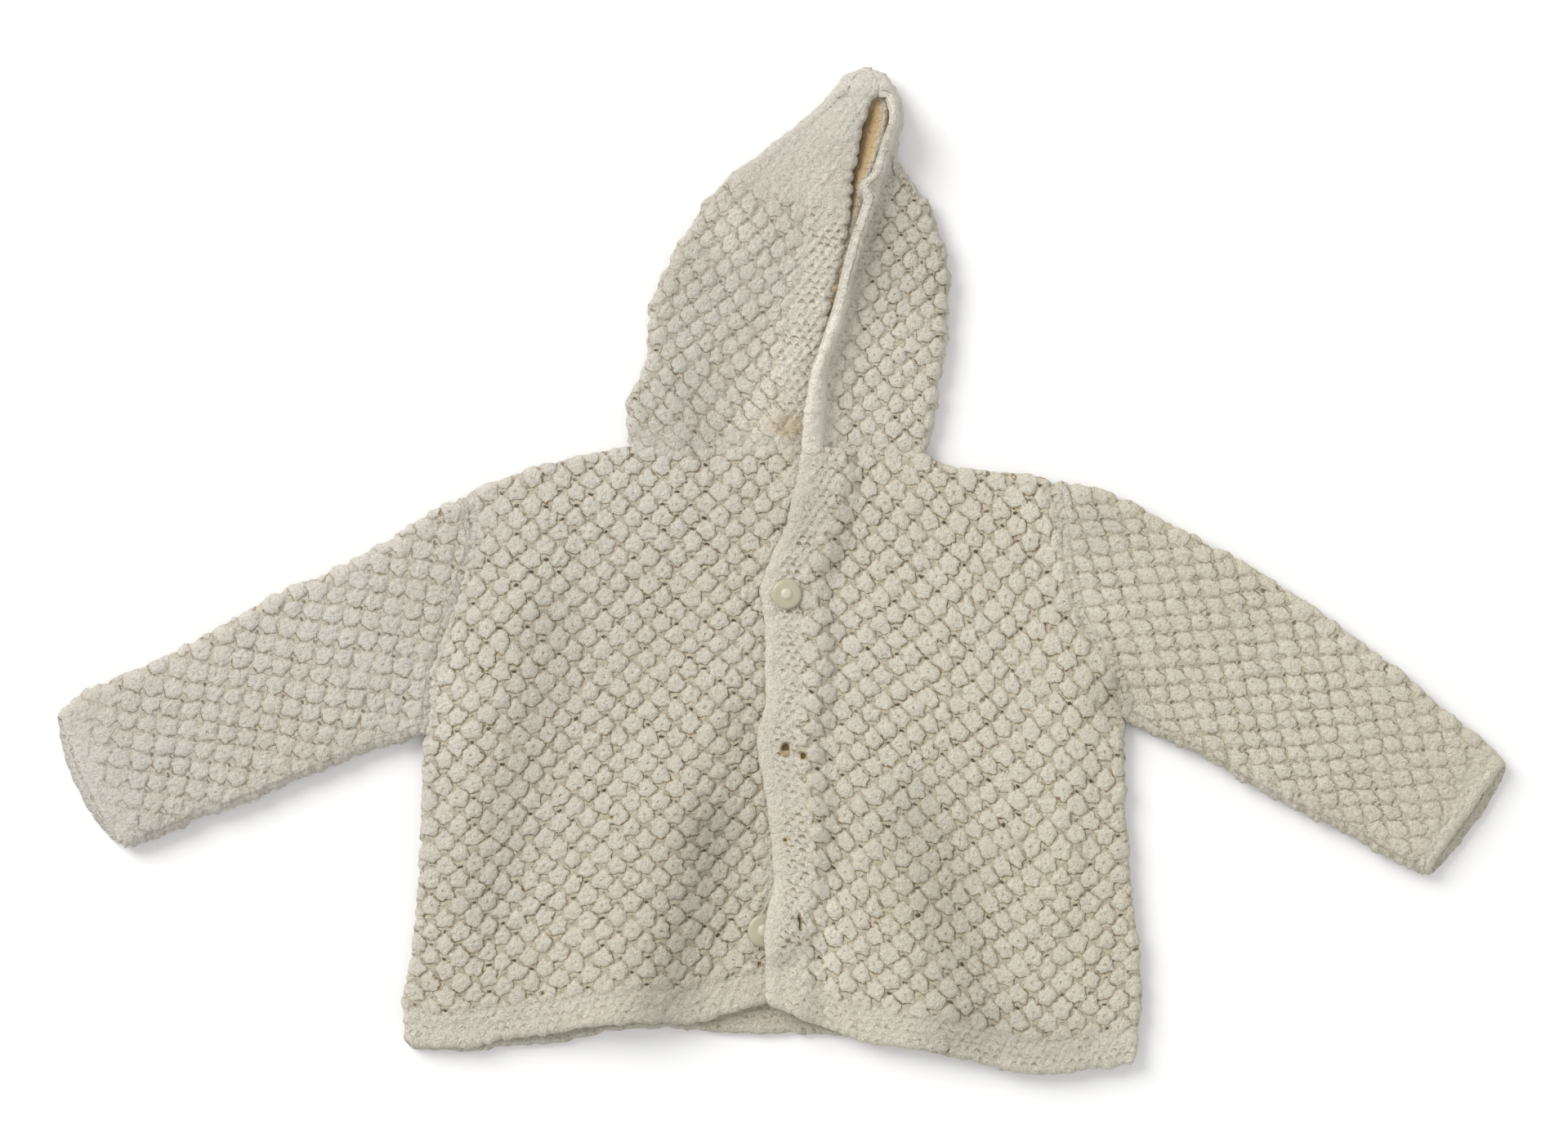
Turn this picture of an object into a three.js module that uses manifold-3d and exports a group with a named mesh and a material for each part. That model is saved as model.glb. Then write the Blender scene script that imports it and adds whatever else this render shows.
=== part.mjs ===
// Hooded baby cardigan, hand knitted in one thick bobble stitch, lying flat on
// its back with the front closed.  Millimetres, +Z up.  The wearer's right is
// at -X and the hood points to +Y.  Every cloth piece is a wall of the knit's
// real thickness, lofted from the short tables below.
import * as THREE from 'three';
import * as BufferGeometryUtils from 'three/addons/utils/BufferGeometryUtils.js';
import Module from 'manifold-3d';

const wasm = await Module();
wasm.setup();

// ------------------------------------------------------------- named sizes
const WALL = 4.0;            // thickness of the bobble knit
const GAP = 0.3;             // clearance between pieces at a seam or a lap
const ARMHOLE_GAP = 0.8;     // the same at the curved armhole seam
const NECK_GAP = 0.6;        // and at the neckline
const LAP_GAP = 0.5;         // and where the top front lies on the under one
const EDGE_ROUND = 1.3;      // how far a panel's edge is rounded back
const LOFT = 1.1;            // rest of the front above the back, away from seams
const SEAM_EASE = 24.0;      // distance over which the front settles to a seam
const BAND_EASE = 11.0;      // run in which the top front comes down past the lap
const RIM_WALL = 6.2;        // standing garter edge of the hood
const SLEEVE_GAP = 2.2;      // air between the two layers of a sleeve
const CUFF_SETBACK = 6.5;    // upper layer of the cuff ends short of the lower
const CENTRE = { x: 0.0, y: 0.0 };  // middle of the outline's box

const TOP_BUTTON = { x: 1.0, y: -9.0, d: 11.8, h: 3.2 };
const LOW_BUTTON = { x: -7.7, y: -140.8, d: 13.1, h: 3.0 };
const SHANK_R = 1.1, SHANK_HOLE_R = 1.8;
const EYELET = { x: 0.6, y: -70.1, w: 3.2, h: 5.8 };
const SLIT = { x: 5.8, y: -137.3, w: 1.2, h: 6.4 };

// ------------------------------------------------------------------ tables
// side of the body at the wearer's right: hem corner, underarm, armhole, shoulder
const SIDE_RIGHT = cols('y x', [
  [-186.5, -148.2], [-168.3, -149.1], [-157.1, -146.9], [-144.3, -144.6], [-131.5, -143.4],
  [-112.3, -142.1], [-83.5, -141.1], [-67.5, -140.5], [-57.9, -139.4], [-39.0, -138.2],
  [-22.7, -132.8], [-10.2, -128.0], [2.9, -124.2], [14.1, -122.9], [30.7, -123.8]]);
// the same at the wearer's left
const SIDE_LEFT = cols('y x', [
  [-192.3, 137.6], [-173.1, 138.9], [-160.3, 139.5], [-149.1, 138.6], [-137.9, 137.3],
  [-126.7, 135.7], [-112.3, 134.7], [-93.1, 133.1], [-70.7, 132.5], [-59.5, 133.4],
  [-43.2, 132.5], [-29.8, 124.2], [-15.0, 115.5], [1.9, 111.4], [20.2, 108.2], [35.5, 103.4]]);
// shoulders and neckline, from the right shoulder point to the left
const TOP = cols('x y', [
  [-123.8, 30.7], [-118.4, 32.3], [-108.8, 35.5], [-99.2, 40.0], [-89.6, 41.9], [-80.0, 44.2],
  [-70.4, 46.4], [-60.8, 48.0], [-51.2, 48.2], [8.0, 49.3], [16.0, 47.9], [35.2, 47.4],
  [54.4, 45.8], [59.2, 42.8], [64.0, 40.6], [73.6, 39.4], [83.2, 38.4], [92.8, 37.4], [103.4, 35.5]]);
const HEM_BACK = cols('x y', [
  [-148.2, -185.6], [-137.6, -187.2], [-123.2, -187.5], [-107.8, -185.9], [-90.2, -184.6],
  [-76.2, -182.1], [-68.8, -179.8], [-56.6, -178.9], [-36.2, -179.5], [-21.1, -180.8],
  [-10.9, -181.4], [6.4, -180.8], [25.6, -182.7], [57.6, -187.2], [76.8, -191.0], [96.0, -195.5],
  [115.2, -194.9], [137.6, -191.7]]);
const HEM_FRONT_RIGHT = cols('x y', [
  [-148.2, -184.8], [-137.6, -186.3], [-123.2, -186.0], [-107.8, -183.0], [-92.5, -181.1],
  [-72.0, -177.6], [-56.6, -176.6], [-36.2, -177.0], [-25.9, -174.1], [-16.0, -171.8],
  [-6.1, -169.3], [12.8, -168.0]]);
const HEM_FRONT_LEFT = cols('x y', [
  [-6.4, -169.0], [3.2, -173.4], [13.4, -177.6], [26.9, -182.7], [41.6, -185.9], [57.6, -188.2],
  [76.8, -192.3], [91.2, -196.2], [97.6, -197.4], [105.6, -196.5], [121.6, -195.2], [137.9, -192.3]]);
// free edge of the top front, and how far the under front runs on beneath it
const EDGE = cols('y x lap', [
  [-169.0, -6.4, 10.5], [-150.7, -6.7, 11.0], [-143.4, -7.0, 11.5], [-134.4, -5.9, 11.5],
  [-121.9, -3.5, 12.0], [-110.1, -4.2, 13.0], [-91.8, -5.8, 15.0], [-78.7, -8.3, 16.0],
  [-64.3, -9.9, 17.0], [-52.8, -7.0, 17.0], [-39.7, -6.8, 17.0], [-26.6, -6.4, 17.0],
  [-16.6, -7.4, 17.0], [-7.0, -8.3, 17.0], [4.5, -4.5, 16.5], [15.7, 0.6, 15.5],
  [31.7, 4.8, 14.0], [49.3, 8.0, 12.0]]);
// soft ridges of the two fronts, each along a line from (x0, y0) to (x1, y1): width of
// the gentle side and of the steep side (to the right going down), height at both ends
const FOLDS = cols('x0 y0 x1 y1 gentle steep h0 h1', [
  [-22.0, -36.0, -38.0, -96.0, 24, 15, 1.5, 5.2],     // main fold of the right front, upper half
  [-38.0, -96.0, -58.0, -172.0, 30, 15, 5.2, 6.4],    // and lower half, out to the hem
  [-95.0, 8.0, -107.0, -51.0, 20, 14, 2.0, 2.4],      // along the right armhole
  [-107.0, -51.0, -130.0, -130.0, 20, 14, 2.4, 2.4],
  [33.0, -72.0, 51.0, -128.0, 22, 15, 1.0, 2.6],      // left front, middle
  [51.0, -128.0, 60.0, -170.0, 22, 15, 2.6, 3.2],
  [100.0, 8.0, 115.0, -48.3, 13, 11, 1.6, 1.6],       // along the left armhole
  [115.0, -48.3, 108.0, -128.3, 13, 11, 1.6, 1.6],
  [41.6, -13.1, 73.6, -19.5, 20, 20, 1.0, 1.0],       // left chest
  [9.0, 32.0, 4.0, 12.0, 13, 13, 1.3, 1.3]]);         // standing part of the lap below the neck
// sections of a sleeve: upper and lower point of each, armhole to cuff
const SLEEVE_RIGHT = cols('ux uy lx ly gap lift', [
  [-123.8, 30.7, -139.8, -64.6, 0.3, 0.0], [-137.6, 24.0, -151.4, -68.2, 1.2, 0.0],
  [-153.6, 13.8, -164.2, -72.0, 1.8, 0.5], [-169.6, 3.8, -176.6, -76.8, 2.2, 0.8],
  [-187.2, -3.2, -189.8, -82.2, 2.2, 0.6], [-204.8, -11.5, -203.2, -88.0, 2.2, 0.2],
  [-222.4, -22.1, -216.6, -93.4, 2.2, 0.5], [-240.0, -31.7, -229.4, -97.9, 2.2, 0.7],
  [-259.2, -40.6, -242.2, -104.0, 2.4, 0.5], [-274.2, -46.7, -252.2, -107.8, 2.8, 0.4],
  [-284.3, -54.4, -259.6, -107.8, 3.2, 0.6]]);
const SLEEVE_LEFT = cols('ux uy lx ly gap lift', [
  [103.4, 35.5, 133.4, -59.2, 0.3, 0.0], [116.8, 34.2, 145.0, -65.0, 1.2, 0.0],
  [132.8, 28.2, 156.2, -70.1, 1.8, 0.4], [148.8, 19.8, 167.4, -74.9, 2.2, 0.8],
  [166.4, 10.9, 178.6, -81.9, 2.2, 0.9], [184.0, 1.6, 189.8, -88.3, 2.2, 0.5],
  [201.6, -9.9, 201.0, -94.1, 2.2, 0.3], [219.2, -22.4, 212.5, -99.8, 2.2, 0.6],
  [236.8, -35.2, 224.0, -105.3, 2.2, 0.7], [255.0, -50.9, 235.8, -112.6, 2.4, 0.5],
  [270.7, -62.7, 245.4, -117.6, 2.8, 0.4], [284.2, -74.4, 251.4, -119.4, 3.2, 0.6]]);
const CUFF_BOW = { right: 5.4, left: 2.8 };   // how far the cuff's edge bows outwards
// sections of the hood, neck to tip.  xl xr: silhouette.  el er: face edges.
// zl: middle of the wall at the left-hand face edge.  gl gr: air inside the two
// side folds.  turn: angle of the right-hand side fold.  up, run, back, flat: the
// angle at which the right half stands up, its straight run, the angle it turns
// back by and its level end.  zf: middle of the under layer.  wall: thickness.
const HOOD = cols('y xl el er xr zl gl gr turn up run back flat zf wall', [
  [48.3, -61.4, 19.8, 7.7, 56.0, 6.3, 0.3, 0.3, 180, 56, 3.6, 54, 2.6, 2, 4],
  [55.7, -62.1, 17.6, 8.1, 58.7, 6.7, 0.7, 0.7, 180, 58, 4.0, 49, 2.2, 2, 4],
  [63.7, -62.1, 15.4, 8.5, 60.2, 7.2, 1.1, 1.1, 180, 60, 4.4, 42, 1.8, 2, 4],
  [71.7, -59.2, 13.4, 9.0, 61.4, 7.6, 1.4, 1.4, 180, 62, 4.8, 32, 1.3, 2, 4],
  [80.3, -55.0, 11.8, 10.4, 62.7, 7.9, 1.6, 1.6, 180, 64, 5.0, 22, 1.0, 2, 4],
  [92.2, -53.6, 14.2, 14.8, 64.3, 8.4, 1.8, 1.8, 180, 68, 5.4, 11, 0.5, 2, 4],
  [103.7, -53.0, 16.6, 18.4, 65.0, 8.9, 1.9, 1.9, 180, 71, 5.8, 3, 0.4, 2, 4],
  [114.2, -49.0, 19.2, 21.0, 65.9, 9.4, 2.0, 2.0, 180, 74, 6.2, 1, 0.4, 2, 4],
  [123.8, -43.8, 21.4, 23.4, 64.0, 10.0, 2.0, 2.0, 180, 75, 6.6, 1, 0.4, 2, 4],
  [131.2, -39.7, 23.2, 25.6, 62.2, 10.5, 2.0, 2.0, 180, 75, 6.8, 1, 0.4, 2, 4],
  [139.8, -34.2, 24.4, 28.6, 59.2, 11.2, 2.0, 2.0, 180, 75, 6.8, 1, 0.4, 2, 4],
  [146.9, -28.8, 24.8, 30.8, 54.4, 11.8, 2.0, 2.0, 180, 75, 6.8, 1, 0.4, 2, 4],
  [152.0, -23.4, 25.0, 32.2, 50.4, 12.2, 2.0, 2.0, 180, 75, 6.6, 1, 0.4, 2, 4],
  [156.5, -18.2, 25.6, 33.8, 47.2, 12.6, 2.0, 2.0, 176, 70, 6.6, 1, 0.4, 2, 4],
  [160.4, -12.8, 26.6, 35.2, 45.4, 12.9, 2.0, 2.0, 150, 44, 7.0, 1, 0.4, 2, 4],
  [165.0, -7.2, 27.4, 36.8, 45.2, 13.2, 2.2, 2.2, 122, 18, 7.6, 1, 0.4, 2, 4],
  [170.0, -1.8, 28.2, 38.0, 46.0, 13.4, 2.4, 2.4, 106, 4, 8.0, 1, 0.4, 2, 4],
  [175.7, 6.2, 29.6, 39.2, 47.6, 13.5, 2.6, 2.6, 101, 1, 7.8, 1, 0.4, 2, 4],
  [180.8, 12.0, 31.6, 39.6, 47.6, 13.5, 3.4, 3.4, 106, 1, 6.8, 1, 0.4, 2, 4],
  [185.3, 15.8, 34.2, 38.8, 46.2, 13.3, 4.6, 4.6, 128, 1, 4.0, 1, 0.4, 2, 4],
  [188.5, 18.6, 35.4, 36.2, 44.2, 12.8, 6.0, 6.4, 170, 1, 0.8, 1, 0.4, 2, 4],
  [191.2, 21.0, 34.2, 34.8, 42.2, 11.6, 5.0, 5.2, 179, 1, 0.4, 1, 0.4, 2.2, 3.6],
  [193.8, 24.2, 33.2, 33.7, 39.6, 9.9, 3.6, 3.8, 179, 1, 0.3, 1, 0.3, 2.6, 3.0],
  [196.2, 28.8, 32.6, 33.0, 36.4, 7.6, 1.6, 1.8, 179, 1, 0.2, 1, 0.2, 3.6, 2.0],
  [197.3, 31.4, 32.5, 32.8, 33.9, 6.0, 0.5, 0.6, 179, 1, 0.1, 1, 0.1, 4.4, 1.0]]);

// ----------------------------------------------------------------- helpers
function cols(names, rows) {
  const keys = names.split(' ');
  return rows.map((r) => Object.fromEntries(keys.map((k, i) => [k, r[i]])));
}
const clamp = (v, a, b) => Math.min(b, Math.max(a, v));
const mix = (a, b, t) => a + (b - a) * t;
const ease = (a, b, v) => { const t = clamp((v - a) / (b - a), 0, 1); return t * t * (3 - 2 * t); };
const rad = (deg) => (deg * Math.PI) / 180;

// smooth curve through one column of a table, against another
function through(rows, key, val) {
  const x = rows.map((r) => r[key]), y = rows.map((r) => r[val]), n = x.length;
  const m = x.map((_, i) => {
    const a = Math.max(0, i - 1), b = Math.min(n - 1, i + 1);
    return (y[b] - y[a]) / (x[b] - x[a]);
  });
  return (v) => {
    if (v <= x[0]) return y[0];
    if (v >= x[n - 1]) return y[n - 1];
    let i = 0;
    while (v > x[i + 1]) i++;
    const h = x[i + 1] - x[i], t = (v - x[i]) / h, t2 = t * t, t3 = t2 * t;
    return (2 * t3 - 3 * t2 + 1) * y[i] + (t3 - 2 * t2 + t) * h * m[i]
      + (-2 * t3 + 3 * t2) * y[i + 1] + (t3 - t2) * h * m[i + 1];
  };
}
const sideRight = through(SIDE_RIGHT, 'y', 'x'), sideLeft = through(SIDE_LEFT, 'y', 'x');
const topLine = through(TOP, 'x', 'y');
const freeEdge = through(EDGE, 'y', 'x'), lap = through(EDGE, 'y', 'lap');

// ------------------------------------------------------ heights of the fronts
function ridges(x, y) {
  let z = 0;
  for (const f of FOLDS) {
    const dx = f.x1 - f.x0, dy = f.y1 - f.y0;
    const t = clamp(((x - f.x0) * dx + (y - f.y0) * dy) / (dx * dx + dy * dy), 0, 1);
    const d2 = (x - f.x0 - t * dx) ** 2 + (y - f.y0 - t * dy) ** 2;
    const w = dx * (y - f.y0) - dy * (x - f.x0) > 0 ? f.steep : f.gentle;
    z = (z ** 6 + (mix(f.h0, f.h1, t) * Math.exp(-d2 / (w * w))) ** 6) ** (1 / 6);
  }
  return z;
}
function loft(x, y) {
  const side = Math.min(x - sideRight(y), sideLeft(y) - x);
  return (LOFT + ridges(x, y)) * ease(0, SEAM_EASE, side) * ease(0, 20, topLine(x) - y);
}
const underFront = (x, y) => WALL + GAP + loft(x, y);
function topFront(x, y) {
  const d = x - freeEdge(y), w = lap(y);
  const lift = (WALL + LAP_GAP) * (1 - ease(w + 0.8, w + 0.8 + BAND_EASE, d));
  const r = Math.hypot(x - LOW_BUTTON.x, y - LOW_BUTTON.y);
  const arch = (LOW_BUTTON.h + 2 * GAP + 0.3) * (1 - ease(LOW_BUTTON.d / 2 + 0.9, LOW_BUTTON.d / 2 + 11, r));
  return WALL + GAP + loft(x, y) + lift + arch;
}

// ---------------------------------------------------------------- geometries
function mesh(name, geometry, material) {
  const m = new THREE.Mesh(geometry, material);
  m.name = name;
  return m;
}
function geometryOf(points, faces) {
  const g = new THREE.BufferGeometry();
  g.setAttribute('position', new THREE.Float32BufferAttribute(points.flat(), 3));
  g.setIndex(faces.flat());
  const m = BufferGeometryUtils.mergeVertices(g, 1e-4);
  m.computeVertexNormals();
  return m;
}
// a panel: plan(s, t) gives (x, y), under(x, y) the height of its lower face
function panel(plan, under, ss, ts) {
  const ni = ss.length, nj = ts.length, P = [], F = [];
  const spanS = (t) => { const a = plan(0, t), b = plan(1, t); return Math.hypot(b[0] - a[0], b[1] - a[1]); };
  const spanT = (s) => { const a = plan(s, 0), b = plan(s, 1); return Math.hypot(b[0] - a[0], b[1] - a[1]); };
  const inset = (s, t) => {
    const es = EDGE_ROUND / spanS(t), et = EDGE_ROUND / spanT(s);
    return plan(clamp(s, es, 1 - es), clamp(t, et, 1 - et));
  };
  for (const up of [0, 1]) for (let j = 0; j < nj; j++) for (let i = 0; i < ni; i++) {
    const [x, y] = inset(ss[i], ts[j]);
    P.push([x, y, under(x, y) + up * WALL]);
  }
  const at = (up, i, j) => up * ni * nj + j * ni + i;
  for (let j = 0; j < nj - 1; j++) for (let i = 0; i < ni - 1; i++) {
    F.push([at(1, i, j), at(1, i + 1, j), at(1, i + 1, j + 1)], [at(1, i, j), at(1, i + 1, j + 1), at(1, i, j + 1)]);
    F.push([at(0, i, j), at(0, i + 1, j + 1), at(0, i + 1, j)], [at(0, i, j), at(0, i, j + 1), at(0, i + 1, j + 1)]);
  }
  const rim = [];
  for (let i = 0; i < ni - 1; i++) rim.push([i, 0]);
  for (let j = 0; j < nj - 1; j++) rim.push([ni - 1, j]);
  for (let i = ni - 1; i > 0; i--) rim.push([i, nj - 1]);
  for (let j = nj - 1; j > 0; j--) rim.push([0, j]);
  const mid = rim.map(([i, j]) => {
    const [x, y] = plan(ss[i], ts[j]);
    P.push([x, y, under(...inset(ss[i], ts[j])) + WALL / 2]);
    return P.length - 1;
  });
  rim.forEach(([i, j], k) => {
    const [i2, j2] = rim[(k + 1) % rim.length], m1 = mid[k], m2 = mid[(k + 1) % rim.length];
    F.push([at(0, i, j), at(0, i2, j2), m2], [at(0, i, j), m2, m1]);
    F.push([m1, m2, at(1, i2, j2)], [m1, at(1, i2, j2), at(1, i, j)]);
  });
  return geometryOf(P, F);
}
// plan of a body panel between two side curves, its hem and the top line
function bodyPlan(left, right, hem, firstColumn) {
  const solve = (s, line) => {
    let x = mix(left(line(0)), right(line(0)), s);
    for (let k = 0; k < 12; k++) { const y = line(x); x = mix(left(y), right(y), s); }
    return line(x);
  };
  return (s, t) => {
    const y = mix(solve(s, hem), solve(s, topLine), t);
    return [mix(left(y), right(y), s), y];
  };
}
// rows of a body panel, hem to shoulder, closer together along the armhole
const BODY_ROWS = [0, 0.09, 0.18, 0.27, 0.36, 0.45, 0.53, 0.58, 0.63, 0.68, 0.74, 0.80, 0.87, 0.94, 1];
const even = (n) => Array.from({ length: n + 1 }, (_, i) => i / n);
const shifted = (f, d) => (v) => f(v) + d;

// A flattened tube: rings between the upper and lower edge of each section
function sleeve(table, side, outward, cuffBow) {
  const n = 9, t = table.map((_, i) => i / (table.length - 1));
  const rows = table.map((r, i) => ({ ...r, t: t[i] }));
  const f = Object.fromEntries(['ux', 'uy', 'lx', 'ly', 'gap', 'lift'].map((k) => [k, through(rows, 't', k)]));
  const axis = (tt) => {
    const e = 0.02, a = clamp(tt - e, 0, 1), b = clamp(tt + e, 0, 1);
    const dx = f.ux(b) + f.lx(b) - f.ux(a) - f.lx(a), dy = f.uy(b) + f.ly(b) - f.uy(a) - f.ly(a);
    const l = Math.hypot(dx, dy);
    return [dx / l, dy / l];
  };
  // a = 0 at the lower edge, 1 at the upper one
  const plan = (a, tt, back) => {
    let x = mix(f.lx(tt), f.ux(tt), a), y = mix(f.ly(tt), f.uy(tt), a);
    const y0 = mix(f.ly(0), f.uy(0), a), x0 = mix(f.lx(0), f.ux(0), a);
    x += (side(y0) + outward * ARMHOLE_GAP - x0) * (1 - ease(0, 0.45, tt));
    const [dx, dy] = axis(tt), bow = Math.sin(Math.PI * clamp(a, 0, 1));
    const along = cuffBow * bow * ease(0.6, 1, tt) - back * Math.sqrt(bow) * ease(0.75, 1, tt);
    return [x + along * dx, y + along * dy];
  };
  const ring = (tt, inner) => {
    const w = Math.hypot(f.ux(tt) - f.lx(tt), f.uy(tt) - f.ly(tt));
    const g = f.gap(tt), h = 2 * WALL + g, end = h / 2 / w, pts = [];
    const r = inner ? g / 2 : h / 2, mid = h / 2;
    const put = (a, dz, back) => {
      const [x, y] = plan(a, tt, back);
      const lift = dz > 0 ? f.lift(tt) * Math.sin(Math.PI * clamp((a - end) / (1 - 2 * end), 0, 1)) : 0;
      pts.push([x, y, mid + dz + lift]);
    };
    for (let i = 0; i <= n; i++) put(mix(end, 1 - end, i / n), -r, 0);
    for (const q of [-45, 0, 45]) put(1 - end + (Math.cos(rad(q)) * r) / w, Math.sin(rad(q)) * r, 0);
    for (let i = 0; i <= n; i++) put(mix(1 - end, end, i / n), r, CUFF_SETBACK);
    for (const q of [45, 0, -45]) put(end - (Math.cos(rad(q)) * r) / w, Math.sin(rad(q)) * r, 0);
    return pts;
  };
  const outer = t.map((tt) => ring(tt, false)), inner = t.map((tt) => ring(tt, true));
  const m = outer[0].length, k = t.length, P = [...outer.flat(), ...inner.flat()], F = [];
  const at = (io, j, i) => io * k * m + j * m + ((i + m) % m);
  for (let j = 0; j < k - 1; j++) for (let i = 0; i < m; i++) {
    F.push([at(0, j, i), at(0, j, i + 1), at(0, j + 1, i + 1)], [at(0, j, i), at(0, j + 1, i + 1), at(0, j + 1, i)]);
    F.push([at(1, j, i), at(1, j + 1, i + 1), at(1, j, i + 1)], [at(1, j, i), at(1, j + 1, i), at(1, j + 1, i + 1)]);
  }
  for (let i = 0; i < m; i++) {
    F.push([at(0, 0, i), at(1, 0, i), at(1, 0, i + 1)], [at(0, 0, i), at(1, 0, i + 1), at(0, 0, i + 1)]);
    const j = k - 1;
    F.push([at(0, j, i), at(1, j, i + 1), at(1, j, i)], [at(0, j, i), at(0, j, i + 1), at(1, j, i + 1)]);
  }
  if (outward < 0) F.forEach((q) => q.reverse());
  return geometryOf(P, F);
}

// One section of the hood: the middle line of its wall from one face edge,
// round the under layer, to the other, with the wall's thickness at each point
function hoodSection(r) {
  const pts = [], rl = (r.wall + r.gl) / 2, rr = (r.wall + r.gr) / 2;
  const put = (x, z, w) => pts.push([x, z, w]);
  const xa = r.xl + r.wall / 2 + rl, zTop = r.zf + 2 * rl, nL = 9;
  for (let i = 0; i < nL; i++) {                    // left half, from its face edge
    const q = 1 - i / nL, x = mix(xa, r.el - 0.3, q);
    put(x, mix(zTop, r.zl, ease(0, 1, q)) + 0.09 * (r.zl - 2) * Math.sin(Math.PI * q) * (r.wall / 4),
      r.wall + 0.5 * ease(0.75, 1, q) * (r.wall / 4));
  }
  for (let i = 0; i <= 4; i++) {                    // left-hand side fold
    const q = rad(90 + 45 * i);
    put(xa + rl * Math.cos(q), r.zf + rl + rl * Math.sin(q), r.wall);
  }
  const xb = r.xr - r.wall / 2 - rr;
  for (let i = 1; i < 6; i++) put(mix(xa, xb, i / 6), r.zf, r.wall);   // under layer
  // right-hand side fold, then the run that stands up to the face edge
  let x = xb, z = r.zf;
  put(x, z, r.wall);
  for (let i = 1; i <= 4; i++) {
    const q = rad((r.turn * i) / 4);
    put(xb + rr * Math.sin(q), r.zf + rr * (1 - Math.cos(q)), r.wall);
  }
  x = xb + rr * Math.sin(rad(r.turn)); z = r.zf + rr * (1 - Math.cos(rad(r.turn)));
  const R1 = 4.0, R2 = 4.4, k = r.wall / 4, steps = [];
  let a = r.turn;
  const arc = (R, deg, n, w0, w1) => {
    for (let i = 0; i < n; i++) {
      const am = rad(a + deg / (2 * n)), l = (2 * R * Math.sin(rad(Math.abs(deg)) / (2 * n)));
      steps.push([l * Math.cos(am), l * Math.sin(am), mix(w0, w1, (i + 1) / n)]);
      a += deg / n;
    }
  };
  const go = (l, n, w0, w1) => {
    for (let i = 0; i < n; i++) steps.push([(l / n) * Math.cos(rad(a)), (l / n) * Math.sin(rad(a)), mix(w0, w1, (i + 1) / n)]);
  };
  const W = r.wall, E = mix(r.wall, RIM_WALL, ease(2.2, 4, r.wall));
  arc(R1 * k, -r.up, 3, W, W);
  go(r.run, 2, W, mix(W, E, 0.8));
  arc(R2 * k, r.back, 2, mix(W, E, 0.8), E);
  go(r.flat, 1, E, E);
  const dx = steps.reduce((s, p) => s + p[0], 0);
  const endX = r.er + (E / 2) * Math.sin(rad(clamp(a, 90, 180)));
  const level = Math.max(0.2, (x + dx - endX) / Math.max(0.35, -Math.cos(rad(r.turn))));
  for (let i = 1; i <= 5; i++) put(x + (level * i / 5) * Math.cos(rad(r.turn)), z + (level * i / 5) * Math.sin(rad(r.turn)), W);
  x += level * Math.cos(rad(r.turn)); z += level * Math.sin(rad(r.turn));
  for (const [sx, sz, w] of steps) { x += sx; z += sz; put(x, z, w); }
  return pts;
}
function hood() {
  const outer = [], inner = [];
  HOOD.forEach((r, j) => {
    const pts = hoodSection(r), n = pts.length, o = [], q = [];
    const follow = (x) => (topLine(clamp(x, -60.8, 54.4)) + NECK_GAP - HOOD[0].y) * (1 - ease(0, 30, r.y - HOOD[0].y));
    pts.forEach(([x, z, w], i) => {
      const a = pts[Math.max(0, i - 1)], b = pts[Math.min(n - 1, i + 1)];
      const l = Math.hypot(b[0] - a[0], b[1] - a[1]), nx = -(b[1] - a[1]) / l, nz = (b[0] - a[0]) / l;
      o.push([x - (nx * w) / 2, r.y + follow(x), z - (nz * w) / 2]);
      q.push([x + (nx * w) / 2, r.y + follow(x), z + (nz * w) / 2]);
    });
    outer.push(o); inner.push(q);
  });
  const k = HOOD.length, m = outer[0].length, P = [...outer.flat(), ...inner.flat()], F = [];
  const at = (io, j, i) => io * k * m + j * m + i;
  const quad = (a, b, c, d) => F.push([a, b, c], [a, c, d]);
  for (let j = 0; j < k - 1; j++) {
    for (let i = 0; i < m - 1; i++) {
      quad(at(0, j, i), at(0, j, i + 1), at(0, j + 1, i + 1), at(0, j + 1, i));
      quad(at(1, j, i), at(1, j + 1, i), at(1, j + 1, i + 1), at(1, j, i + 1));
    }
    quad(at(0, j, 0), at(0, j + 1, 0), at(1, j + 1, 0), at(1, j, 0));
    quad(at(0, j, m - 1), at(1, j, m - 1), at(1, j + 1, m - 1), at(0, j + 1, m - 1));
  }
  for (let i = 0; i < m - 1; i++) {
    quad(at(0, 0, i), at(1, 0, i), at(1, 0, i + 1), at(0, 0, i + 1));
    quad(at(0, k - 1, i), at(0, k - 1, i + 1), at(1, k - 1, i + 1), at(1, k - 1, i));
  }
  F.forEach((q) => q.reverse());
  return geometryOf(P, F);
}

// a domed button turned about its own axis, with or without a shank below
function button(spec, shank) {
  const R = spec.d / 2, h = spec.h, pr = [];
  if (shank > 0) pr.push([0, -shank], [SHANK_R, -shank], [SHANK_R, 0]);
  else pr.push([0, 0]);
  pr.push([0.78 * R, 0], [0.97 * R, 0.22 * h], [R, 0.38 * h], [0.95 * R, 0.55 * h], [0.74 * R, 0.70 * h],
    [0.46 * R, 0.74 * h], [0.34 * R, 0.82 * h], [0.20 * R, 0.97 * h], [0, h]);
  const g = new THREE.LatheGeometry(pr.map(([a, b]) => new THREE.Vector2(a, b)), 20);
  g.rotateX(Math.PI / 2);
  g.deleteAttribute('uv');
  g.deleteAttribute('normal');
  const m = BufferGeometryUtils.mergeVertices(g, 1e-4);
  m.computeVertexNormals();
  return m;
}
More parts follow.
